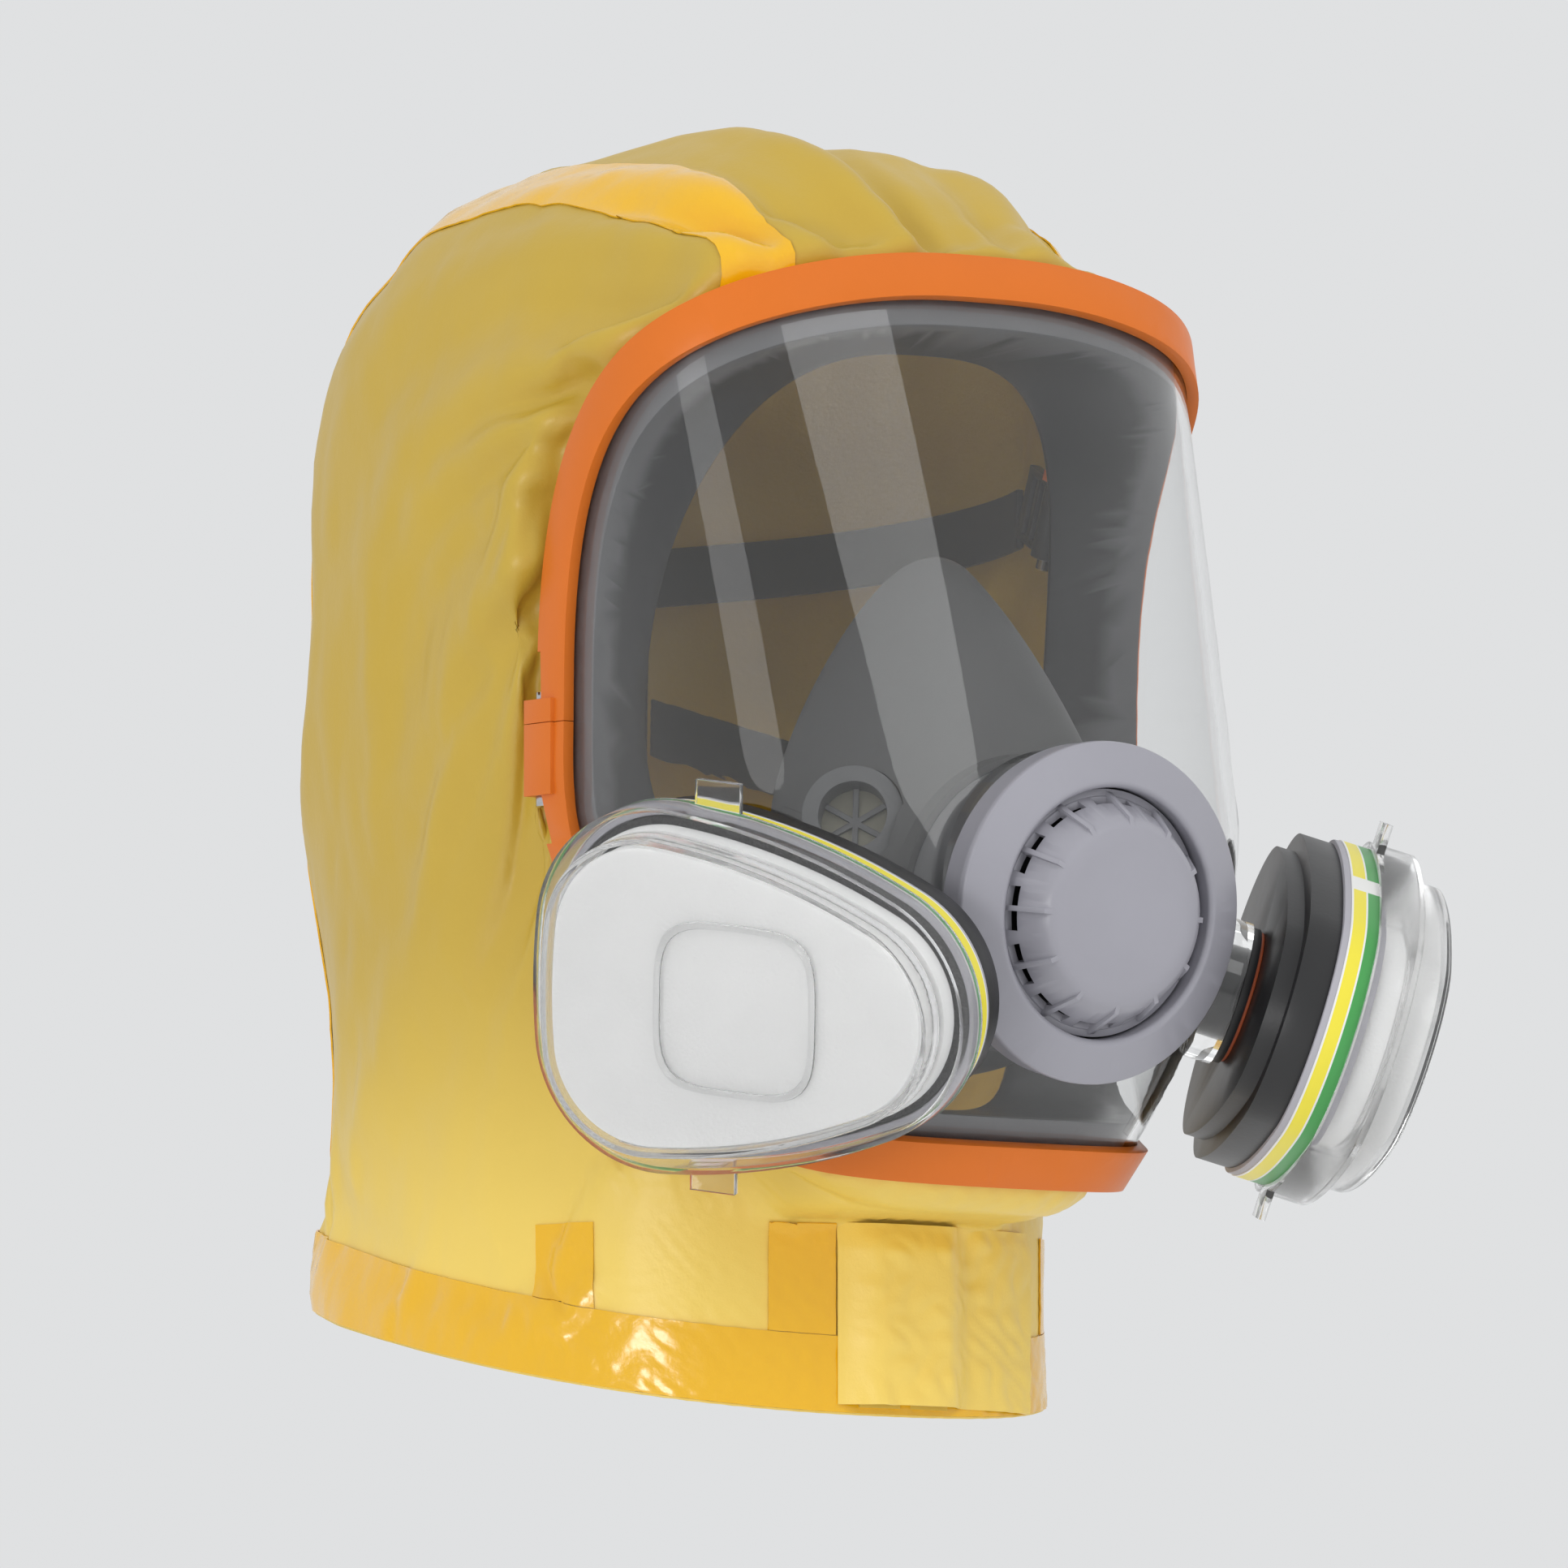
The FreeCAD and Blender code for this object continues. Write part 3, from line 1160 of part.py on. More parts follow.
def harness_point(turn, z, grow=0.0):
    """A point of the harness's inner side, by its turn from straight ahead and its height."""
    half_width, half_depth, centre = harness_oval()
    return Vector((half_width + grow) * math.sin(turn), centre - (half_depth + grow) * math.cos(turn), z)


def tangent_frame(phi):
    here, inward, normal = outline_frame(phi)
    return here, inward, normal, inward.cross(normal).normalize()


BUCKLES = (("upper", 28), ("lower", -12))
wall = size("harness_wall")
pin_level = hem_back - size("pin_depth")


def ear_block(place, low, high):
    """One ear that carries a buckle's pin behind the frame, over a range along the pin."""
    back, lip = -size("frame_back") + 0.02, size("frame_back_lip")
    corners = [
        (hem_high + 0.3, back), (lip, back), (lip + 0.2, back - 4), (2.5, pin_level + 1), (1, pin_level - 4),
        (-6.5, pin_level - 4), (-8.2, pin_level - 1), (-7.6, pin_level + 3), (-4, hem_back - 0.75),
        (4.2, hem_back - 0.45), (hem_high + 0.3, hem_back - 0.05)]
    here, inward, normal, along = place
    outline = [here + inward * i + normal * o + along * low for i, o in corners]
    return Part.Face(Part.makePolygon(outline + outline[:1])).extrude(along * (high - low))


def make_buckle(half):
    """A flat buckle about its pin's axis: an eye, and two slots for the strap to thread."""
    length, thick = size("buckle_length"), size("buckle_wall")
    plate = box_between((0, -thick / 2, -half), (length, thick / 2, half))
    plate = plate.fuse(Part.makeCylinder(size("buckle_pin") + 2, 2 * half, Vector(0, 0, -half)))
    plate = plate.cut(Part.makeCylinder(size("buckle_pin") + 0.25, 4 * half, Vector(0, 0, -2 * half)))
    for far, near in ((7, 4), (13, 9.5)):
        plate = plate.cut(box_between((length - far, -5, -half + 2.2), (length - near, 5, half - 2.2)))
    return plate.removeSplitter()


def strap_edge(start_turn, end_turn, start_z, end_z, offset):
    """A strap edge's height by its turn round the head."""
    def height(turn):
        return start_z + (end_z - start_z) * (turn - start_turn) / (end_turn - start_turn) + offset
    return height


def add_harness():
    """Ears and pins behind the frame, and a buckle and a strap at each, back to the pad."""
    ears, pins = {"upper": [], "lower": []}, []
    half = size("strap_width") / 2 + 1.2
    pad_edge = math.pi - math.radians(size("pad_half_angle"))
    for level, degrees in BUCKLES:
        for side_name, side in SIDES:
            place = tangent_frame(math.radians(degrees if side > 0 else 180 - degrees))
            here, inward, normal, along = place
            pin_at = here - inward * size("pin_out") + normal * pin_level
            pin = Part.makeCylinder(size("buckle_pin"), 2 * (half + 3), pin_at - along * (half + 3), along)
            hole_start = pin_at - along * (half + 4)
            hole = Part.makeCylinder(size("buckle_pin") + 0.03, 2 * (half + 4), hole_start, along)
            pins.append(pin)
            for low, high in ((half + 0.3, half + 3), (-half - 3, -half - 0.3)):
                ears[level].append(ear_block(place, low, high).cut(hole))
            up = along if along.z > 0 else -along
            strap_z = pin_at.z + (3 if level == "upper" else 0)
            back = harness_point(math.radians(66) * side, strap_z, wall / 2) - pin_at
            back = (back - up * back.dot(up)).normalize()
            frame = frame_placement(pin_at, up, back)
            shaped(f"buckle_{level}_{side_name}", make_buckle(half), frame)
            strap_start = frame.multVec(Vector(size("buckle_length") + size("strap_gap"), 0, 0))
            half_width, half_depth, centre = harness_oval()
            start_turn = math.atan2(strap_start.x / half_width, (centre - strap_start.y) / half_depth)
            end_turn = side * pad_edge
            way_up = 1 if level == "upper" else -1
            end_z = size("pad_middle") + way_up * (size("pad_height_back") / 2 - 12)
            half_strap = size("strap_width") / 2 - 1
            low, high = [strap_edge(start_turn, end_turn, strap_z, end_z, offset)
                         for offset in (-half_strap, half_strap)]
            shaped(f"strap_{level}_{side_name}", patch_solid(
                harness_point, start_turn, end_turn - side * 0.012, low, high, 0, wall, 20))
    return ears, pins


ears, pins = add_harness()
shaped("buckle_pins", Part.makeCompound(pins))
room, collar_back = size("fit_gap") + 0.1, hem_low - 1.5
hem_room = section_ring([(collar_back - room, hem_front + room), (hem_high + room, hem_front + room),
                         (hem_high + room, hem_back - room), (collar_back - room, hem_back - room)])
for label, level in (("frame_upper", "upper"), ("frame_lower", "lower")):
    fused = doc.getObject(label).Shape
    for ear in ears[level]:
        fused = fused.fuse(ear.cut(hem_room))
    doc.getObject(label).Shape = largest(fused)
half_pad = math.radians(size("pad_half_angle"))
pad_low = size("pad_middle") - size("pad_height_back") / 2
pad_high = pad_low + size("pad_height_back")
shaped("harness_pad", patch_solid(
    harness_point, math.pi - half_pad, math.pi + half_pad, pad_low, pad_high, 0, wall + 0.4))

doc.recompute()
os.makedirs("parts", exist_ok=True)
for item in doc.Objects:
    if item.TypeId not in ("PartDesign::Body", "Part::Feature") or item.Label != item.Name:
        continue
    if any(state in item.State for state in ("Invalid", "Error")):
        raise RuntimeError(f"{item.Label} did not recompute: {item.State}")
    if item.Shape.isNull() or not item.Shape.isValid():
        raise RuntimeError(f"{item.Label} has no valid shape")
    item.Shape.exportStep(f"parts/{item.Label}.step")
    print(f"{item.Label:28s} {len(item.Shape.Solids)} {item.Shape.Volume:10.1f}")
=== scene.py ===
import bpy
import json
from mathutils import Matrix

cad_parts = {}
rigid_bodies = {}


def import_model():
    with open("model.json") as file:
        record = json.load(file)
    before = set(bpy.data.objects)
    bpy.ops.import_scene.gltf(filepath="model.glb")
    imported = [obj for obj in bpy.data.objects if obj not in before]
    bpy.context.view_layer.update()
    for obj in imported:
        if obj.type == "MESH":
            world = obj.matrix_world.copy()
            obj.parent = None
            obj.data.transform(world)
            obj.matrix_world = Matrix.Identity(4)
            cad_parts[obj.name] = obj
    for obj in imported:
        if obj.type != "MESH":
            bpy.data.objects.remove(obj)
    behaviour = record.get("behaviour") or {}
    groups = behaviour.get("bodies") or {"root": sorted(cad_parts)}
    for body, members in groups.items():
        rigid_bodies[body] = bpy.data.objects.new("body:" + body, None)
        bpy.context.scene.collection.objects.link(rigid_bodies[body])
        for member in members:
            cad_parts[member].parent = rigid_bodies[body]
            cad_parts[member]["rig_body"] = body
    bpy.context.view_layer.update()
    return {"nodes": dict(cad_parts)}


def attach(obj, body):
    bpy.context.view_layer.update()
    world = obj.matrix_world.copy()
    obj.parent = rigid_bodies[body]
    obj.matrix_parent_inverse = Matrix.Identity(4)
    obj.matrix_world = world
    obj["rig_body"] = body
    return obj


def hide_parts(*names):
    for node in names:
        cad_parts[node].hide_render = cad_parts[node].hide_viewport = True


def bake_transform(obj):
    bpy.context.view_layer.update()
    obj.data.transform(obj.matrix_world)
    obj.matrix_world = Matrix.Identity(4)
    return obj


bl_info = {
    "name": "Smoke Hood",
    "version": (1, 0, 0),
    "blender": (4, 5, 0),
    "location": "3D View > Sidebar > Smoke Hood",
    "description": "A taped protective hood worn over a full-face mask with two filter cartridges",
    "category": "Object",
}

import json
import math
import random

import bmesh
import bpy
import numpy as np
from mathutils import Matrix, Vector, noise

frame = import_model()
UP = Vector((0, 0, 1))


# ------------------------------------------------------------------ settings

def length(label, default, description):
    return bpy.props.FloatProperty(
        name=label, description=description, default=default, unit="LENGTH", precision=4)


def amount(label, default, description):
    return bpy.props.FloatProperty(name=label, description=description, default=default, precision=3)


def colour(label, default, description):
    return bpy.props.FloatVectorProperty(
        name=label, description=description, default=default, subtype="COLOR", size=3, min=0, max=1)


class HoodSettings(bpy.types.PropertyGroup):
    neck_half_width: length("Neck half width", 0.084, "Half width of the hood at the neck seam")
    neck_half_depth: length("Neck half depth", 0.092, "Half depth of the hood at the neck seam")
    head_half_width: length("Head half width", 0.095, "Half width of the hood round the head")
    head_half_depth: length("Head half depth", 0.114, "Half depth of the hood round the head")
    head_back_shift: length("Head shift", 0.018, "How far the head's centre sits ahead of the neck's")
    head_height: length("Head height", 0.205, "Height at which the hood reaches its full section")
    throat_height: length("Throat height", 0.060, "Height up to which the neck is straight")
    hood_height: length("Hood height", 0.325, "Height of the crown above the hem")
    hem_rise: length("Hem rise", 0.038, "How much higher the hem is at the nape")
    seam_tape_width: length("Seam tape width", 0.018, "Width of the heat-sealed tape over the seams")
    crown_seam: length("Crown seam", 0.058, "Distance of the crown seams from the middle")
    fabric_thickness: length("Fabric thickness", 0.0006, "Thickness of the coated fabric")
    slack: amount("Slack", 0.07, "Extra width of fabric that the drape gathers into folds")
    # Fabric is the hood's khaki. Pale fabric is painted light: the same fabric painted paler where light
    # falls on and shines through the throat.
    fabric: colour("Fabric", (0.55, 0.37, 0.042), "Coated fabric")
    fabric_painted_lit: colour("Pale fabric", (0.90, 0.65, 0.13), "Coated fabric where light shines through")
    tape: colour("Seam tape", (0.85, 0.47, 0.002), "Heat-sealed tape")


class MaskSettings(bpy.types.PropertyGroup):
    side: length("Side plane", 0.066, "Distance of the mask's side plane ahead of the neck")
    top: length("Top", 0.286, "Height of the clamp frame's top")
    bottom: length("Bottom", 0.057, "Height of the clamp frame's bottom")
    middle: length("Middle", 0.171, "Height of the clamp frame's widest point")
    half_width: length("Half width", 0.087, "Half width of the clamp frame")
    frame_colour: colour("Clamp frame", (0.70, 0.165, 0.016), "Clamp frame")
    # The ramp from the flange colour to the near-black wall colour is painted shade, darker down into the
    # mask.
    seal_colour: colour("Face seal", (0.016, 0.016, 0.018), "Deep wall of the silicone face seal")
    flange_colour: colour("Seal flange", (0.20, 0.20, 0.21), "Flange of the face seal, right under the lens")
    cup_colour: colour("Nose cup", (0.105, 0.105, 0.105), "Silicone nose cup")
    port_height: length("Port height", 0.121, "Height of the exhalation port's centre")
    collar_reach: length("Collar reach", 0.005, "How far the port's collar stands ahead of the lens")
    collar_radius: length("Collar radius", 0.039, "Radius of the port's clear collar")
    collar_wall: length("Collar wall", 0.0026, "Wall of the port's clear collar")
    lens_wall: length("Lens wall", 0.0025, "Thickness of the lens")
    lens_edge: length("Lens edge", 0.004, "How far in from the clamp frame's outline the lens ends")
    port_colour: colour("Valve", (0.33, 0.325, 0.365), "Valve ring and cover")


class FilterSettings(bpy.types.PropertyGroup):
    turn: amount("Port turn", 37.9, "Turn of the filter ports from straight ahead, in degrees")
    height: length("Port height", 0.107, "Height of the filter ports")
    yaw: amount("Port yaw", 62.0, "How far the filters face sideways, in degrees")
    tilt: amount("Port tilt", 17.0, "How far the filters face down, in degrees")
    roll: amount("Cartridge roll", 9.0, "How far the cartridge's narrow end dips, in degrees")
    stand: length("Stand", 0.008, "Distance of the cartridge's foot from the lens")
    band_low: length("Band start", 0.01475, "Height of the band's lower edge above the foot")
    band_high: length("Band end", 0.02275, "Height of the band's upper edge above the foot")
    base_colour: colour("Base", (0.018, 0.018, 0.019), "Filter base and bayonet port")
    can_colour: colour("Can", (0.42, 0.412, 0.451), "Cartridge can")
    pad_colour: colour("Pad", (0.93, 0.93, 0.92), "Particle pad")
    gasket_colour: colour("Gasket", (0.5, 0.10, 0.03), "Port gasket")
    stripe_yellow: colour("Yellow stripe", (0.83, 0.72, 0.05), "Colour code stripe")
    stripe_green: colour("Green stripe", (0.06, 0.33, 0.08), "Colour code stripe")


class StudioSettings(bpy.types.PropertyGroup):
    azimuth: amount("Azimuth", -36.0, "Camera azimuth in degrees")
    elevation: amount("Elevation", -5.0, "Camera elevation in degrees")
    distance: length("Distance", 5.0, "Camera distance")
    floor_height: length("Floor height", -0.46, "Height of the studio floor")


# ------------------------------------------------------------------ the forms of the hood and the mask

# The powers say how square a rounded outline is: 2 is an ellipse.
LOOP = 2 * math.pi
HOOD_POWER, CROWN_POWER = 2.4, 2.7
SECTION_POWER, OUTLINE_POWER = 3.0, 2.8
CHIN_HALF_WIDTH, CHEEK_HEIGHT = 0.050, 0.150
BROW_DEPTH, PORT_DEPTH, CHIN_DEPTH, PORT_TILT = 0.060, 0.104, 0.079, math.radians(7.5)
HEAD_CENTRE = np.array((0.0, -0.022, 0.175))


def settings(name):
    """One of the scene's groups of settings."""
    return getattr(bpy.context.scene, name)


def ramp(t):
    """0 below 0, 1 above 1, and a smooth rise between."""
    t = np.clip(t, 0.0, 1.0)
    return t * t * (3 - 2 * t)


def hood_section(z, grow=0.0):
    """Centre, half width and half depth of the hood's level sections."""
    s = settings("smoke_hood")
    rise = ramp((z - s.throat_height) / (s.head_height - s.throat_height))
    a = s.neck_half_width + (s.head_half_width - s.neck_half_width) * rise + grow
    b = s.neck_half_depth + (s.head_half_depth - s.neck_half_depth) * rise + grow
    start, top = s.head_height + 0.010, s.hood_height + grow
    u = np.clip((z - start) / (top - start), 0.0, 1.0)
    close = (1 - u ** CROWN_POWER) ** (1 / CROWN_POWER)
    return -s.head_back_shift * rise, a * close, b * close


def hood_point(turn, z, grow=0.0):
    """A point of the hood's form, by its turn from straight ahead and its height."""
    centre, a, b = hood_section(z, grow)
    s, c = math.sin(turn), math.cos(turn)
    r = (abs(s / a) ** HOOD_POWER + abs(c / b) ** HOOD_POWER) ** (-1 / HOOD_POWER)
    return Vector((r * s, float(centre) - r * c, z))


def mask_half_width(z):
    """Half width of the mask's level sections, narrower down to the chin."""
    m = settings("smoke_mask")
    t = np.clip((CHEEK_HEIGHT - z) / (CHEEK_HEIGHT - m.bottom), 0.0, None)
    return m.half_width - (m.half_width - CHIN_HALF_WIDTH) * t ** 1.3


def mask_depth(z):
    """Depth of the mask's level sections, deepest at the exhalation port."""
    m = settings("smoke_mask")
    deep_at = m.port_height - 0.003
    above = np.clip((z - deep_at) / (m.top - deep_at), 0.0, None)
    below = np.clip((deep_at - z) / (deep_at - m.bottom), 0.0, None)
    return PORT_DEPTH - (PORT_DEPTH - BROW_DEPTH) * above ** 1.15 - (PORT_DEPTH - CHIN_DEPTH) * below ** 1.6


def mask_point(turn, z):
    """A point of the mask's outside, by its turn from straight ahead and its height."""
    m = settings("smoke_mask")
    a, b = float(mask_half_width(z)), float(mask_depth(z))
    s, c = math.sin(turn), math.cos(turn)
    r = (abs(s / a) ** SECTION_POWER + abs(c / b) ** SECTION_POWER) ** (-1 / SECTION_POWER)
    return Vector((r * s, -m.side - r * c, z))


def mask_normal(turn, z):
    """The mask's outward direction at a point."""
    across = mask_point(turn + 1e-3, z) - mask_point(turn - 1e-3, z)
    up = mask_point(turn, z + 2e-4) - mask_point(turn, z - 2e-4)
    return across.cross(up).normalized()


def outline_turn_height(phi):
    """The clamp frame's outline, phi from the wearer's left round over the top."""
    m = settings("smoke_mask")
    c, s = math.cos(phi), math.sin(phi)
    r = (abs(c) ** OUTLINE_POWER + abs(s) ** OUTLINE_POWER) ** (-1 / OUTLINE_POWER)
    q = r * s
    reach = m.top - m.middle if q > 0 else m.middle - m.bottom
    return r * c * math.pi / 2, m.middle + q * reach


def outline_frame(phi):
    """The outline's point, its direction inward along the mask, and the mask's normal."""
    turn, z = outline_turn_height(phi)
    here = mask_point(turn, z)
    before, after = (mask_point(*outline_turn_height(phi + step)) for step in (-0.01, 0.01))
    along = (after - before).normalized()
    normal = mask_normal(turn * 0.985, z)
    return here, normal.cross(along).normalized(), normal


def in_band(phi, inward, outward):
    """A point beside the outline: inward along the mask and outward from it."""
    here, side, normal = outline_frame(phi)
    return here + side * inward + normal * outward


def port_matrix():
    """The exhalation port's frame: local Z straight out of the mask, at the collar's front edge."""
    m = settings("smoke_mask")
    axis = Vector((0, -math.cos(PORT_TILT), -math.sin(PORT_TILT)))
    across = Vector((1, 0, 0))
    origin = Vector((0, -m.side - PORT_DEPTH - m.collar_reach, m.port_height))
    return Matrix.Translation(origin) @ Matrix((across, axis.cross(across), axis)).transposed().to_4x4()


def filter_matrix(side):
    """A cartridge's frame: local Z away from the mask, local X towards its narrow end."""
    f = settings("smoke_filter")
    yaw, tilt, roll = (math.radians(angle) for angle in (f.yaw, f.tilt, f.roll))
    axis = Vector((side * math.sin(yaw) * math.cos(tilt), -math.cos(yaw) * math.cos(tilt), -math.sin(tilt)))
    level = Vector((-side * math.cos(yaw), -math.sin(yaw), 0))
    up = axis.cross(level)
    up = -up if up.z < 0 else up
    nose = (level * math.cos(roll) - up * math.sin(roll)).normalized()
    origin = mask_point(side * math.radians(f.turn), f.height) + axis * f.stand
    return Matrix.Translation(origin) @ Matrix((nose, axis.cross(nose), axis)).transposed().to_4x4()


def inside_hood(p):
    """Whether points lie inside the hood's form, the space under the mask's edge included."""
    m = settings("smoke_mask")
    z = p[..., 2]
    centre, a, b = hood_section(z)
    a, b = np.maximum(a, 1e-6), np.maximum(b, 1e-6)
    head = np.abs(p[..., 0] / a) ** HOOD_POWER + np.abs((p[..., 1] - centre) / b) ** HOOD_POWER < 1
    inset = 0.0100
    ahead = p[..., 1] + m.side < 0
    a, b = mask_half_width(z) - inset, np.where(ahead, mask_depth(z) - inset, 0.020)
    chin = np.abs(p[..., 0] / a) ** SECTION_POWER + np.abs((p[..., 1] + m.side) / b) ** SECTION_POWER < 1
    return head | (chin & (z > m.bottom - 0.0075) & (z < m.top))


def onto_form(directions):
    """Where rays from the middle of the head leave the hood's form."""
    low, high = np.zeros(directions.shape[:-1]), np.full(directions.shape[:-1], 0.30)
    for _ in range(22):
        mid = (low + high) / 2
        within = inside_hood(HEAD_CENTRE + directions * mid[..., None])
        low, high = np.where(within, mid, low), np.where(within, high, mid)
    return HEAD_CENTRE + directions * ((low + high) / 2)[..., None]


def unit(v):
    """Directions of length 1."""
    return v / np.linalg.norm(v, axis=-1, keepdims=True)


# ------------------------------------------------------------------ helpers for meshes

def add_object(name, bm, material, body, replaces=(), smooth=35):
    """Turns a bmesh into a finished piece that rides on a body."""
    if not bm.faces:
        raise RuntimeError(f"{name} has no faces")
    if smooth is not None:
        limit = math.radians(smooth)
        for face in bm.faces:
            face.smooth = True
        for edge in bm.edges:
            edge.smooth = len(edge.link_faces) == 2 and edge.calc_face_angle(0) < limit
    mesh = bpy.data.meshes.new(name)
    bm.to_mesh(mesh)
    bm.free()
    piece = bpy.data.objects.new(name, mesh)
    bpy.context.scene.collection.objects.link(piece)
    mesh.materials.append(material)
    if body:
        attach(piece, body)
        if replaces:
            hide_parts(*replaces)
    return piece


def merged_copy(node):
    """A bmesh of a CAD piece with its loose triangles joined and its flat faces whole."""
    bm = bmesh.new()
    bm.from_mesh(frame["nodes"][node].data)
    bmesh.ops.remove_doubles(bm, verts=bm.verts, dist=2e-6)
    bmesh.ops.dissolve_limit(bm, angle_limit=math.radians(0.6), verts=bm.verts, edges=bm.edges)
    return bm


def round_edges(bm, width, angle=38, segments=2):
    """Bevels the edges that are sharper than an angle."""
    limit = math.radians(angle)
    sharp = [e for e in bm.edges if len(e.link_faces) == 2 and e.calc_face_angle(0) > limit]
    bmesh.ops.bevel(bm, geom=sharp, offset=width, offset_type="OFFSET", segments=segments, profile=0.5,
                    affect="EDGES", clamp_overlap=True, material=-1)


def finished_copy(node, name, material, width=0.0004, angle=38, detail=None):
    """A CAD piece with its detail added, its edges softened and its faces shaded smooth."""
    body = frame["nodes"][node]["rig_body"]
    bm = merged_copy(node)
    if detail:
        detail(bm)
    if width:
        round_edges(bm, width, angle)
    return add_object(name, bm, material, body, (node,))


def grid(columns, rows):
    """A bmesh sheet, with its vertices listed as [row][column]."""
    bm = bmesh.new()
    bmesh.ops.create_grid(bm, x_segments=columns, y_segments=rows, size=1)
    bm.verts.layers.int.new("place")
    table = [[None] * (columns + 1) for _ in range(rows + 1)]
    for vert in bm.verts:
        column, row = round((vert.co.x + 1) / 2 * columns), round((vert.co.y + 1) / 2 * rows)
        table[row][column] = vert
    return bm, table


def thicken(bm, thickness):
    """Gives an open sheet a wall on its inner side, by the same step along each point's own normal."""
    bm.normal_update()
    steps = {vert: vert.normal * -thickness for vert in bm.verts}
    bmesh.ops.extrude_face_region(bm, geom=bm.faces[:], use_keep_orig=True)
    for vert, step in steps.items():
        vert.co += step
    bmesh.ops.recalc_face_normals(bm, faces=bm.faces)


def point_outward(bm, centre):
    """Turns a sheet's faces away from a point inside it."""
    bm.normal_update()
    facing = sum(f.normal.dot(f.calc_center_median() - centre) for f in bm.faces)
    if facing < 0:
        bmesh.ops.reverse_faces(bm, faces=bm.faces)
    bm.normal_update()


def paint(piece, name, value):
    """Gives each vertex of a piece a number that its material reads."""
    layer = piece.data.attributes.new(name, "FLOAT", "POINT")
    for vert, entry in zip(piece.data.vertices, layer.data):
        entry.value = value(vert.co)


def seal_depth(p):
    """0 on the seal's flange, right under the lens, and 1 down its wall: the seal's colour is painted darker
    by it, painted shade down into the mask.
    """
    a, b, side = float(mask_half_width(p.z)), float(mask_depth(p.z)), settings("smoke_mask").side
    reach = (abs(p.x / a) ** SECTION_POWER + abs((p.y + side) / b) ** SECTION_POWER) ** (1 / SECTION_POWER)
    flange, fade = 0.075, 0.10
    return float(ramp((1 - reach - flange) / fade))


# ------------------------------------------------------------------ materials

MIX_A, MIX_B, MIX_RESULT = 6, 7, 2  # the colour sockets of a Mix node


def shader(name, base, roughness, **more):
    """A Principled material with plain socket values, made once."""
    material = bpy.data.materials.get(name)
    if material:
        return material
    material = bpy.data.materials.new(name)
    material.use_nodes = True
    bsdf = material.node_tree.nodes["Principled BSDF"]
    bsdf.inputs["Base Color"].default_value = (*base, 1)
    bsdf.inputs["Roughness"].default_value = roughness
    for socket, value in more.items():
        bsdf.inputs[socket.replace("_", " ")].default_value = value
    return material


def wire(material, source, socket_out, target, socket_in):
    """Joins one node's output to another's input."""
    material.node_tree.links.new(source.outputs[socket_out], target.inputs[socket_in])


def node(material, kind, **values):
    """Adds a node with its socket values or its properties."""
    made = material.node_tree.nodes.new(kind)
    for key, value in values.items():
        if key in made.inputs:
            made.inputs[key].default_value = value
        else:
            setattr(made, key, value)
    return made


def bumpy(material, scale, strength, distance, detail=4.0, texture="ShaderNodeTexNoise", **more):
    """Adds a fine bump on Object coordinates."""
    bsdf = material.node_tree.nodes["Principled BSDF"]
    coords = node(material, "ShaderNodeTexCoord")
    pattern = node(material, texture, Scale=scale, **more)
    if texture == "ShaderNodeTexNoise":
        pattern.inputs["Detail"].default_value = detail
    bump = node(material, "ShaderNodeBump", Strength=strength, Distance=distance)
    wire(material, coords, "Object", pattern, "Vector")
    wire(material, pattern, "Fac" if "Fac" in pattern.outputs else "Distance", bump, "Height")
    wire(material, bump, "Normal", bsdf, "Normal")
    return material


def vary(material, spread=0.07, scale=26.0):
    """Makes a moulded piece's colour and roughness drift softly, as handled plastic and rubber do."""
    bsdf = material.node_tree.nodes["Principled BSDF"]
    base, roughness = bsdf.inputs["Base Color"], bsdf.inputs["Roughness"]
    coords = node(material, "ShaderNodeTexCoord")
    cloud = node(material, "ShaderNodeTexNoise", Scale=scale, Detail=5.0, Roughness=0.6)
    wire(material, coords, "Object", cloud, "Vector")
    if not base.is_linked:
        tone = Vector(base.default_value[:3])
        mix = node(material, "ShaderNodeMix", data_type="RGBA")
        mix.inputs[MIX_A].default_value = (*(tone * (1 - spread)), 1)
        mix.inputs[MIX_B].default_value = (*(min(1.0, value * (1 + spread)) for value in tone), 1)
        wire(material, cloud, "Fac", mix, 0)
        wire(material, mix, MIX_RESULT, bsdf, "Base Color")
    drift = node(material, "ShaderNodeMath", operation="MULTIPLY_ADD")
    drift.inputs[1].default_value = 0.16
    drift.inputs[2].default_value = roughness.default_value - 0.08
    wire(material, cloud, "Fac", drift, 0)
    wire(material, drift, 0, bsdf, "Roughness")


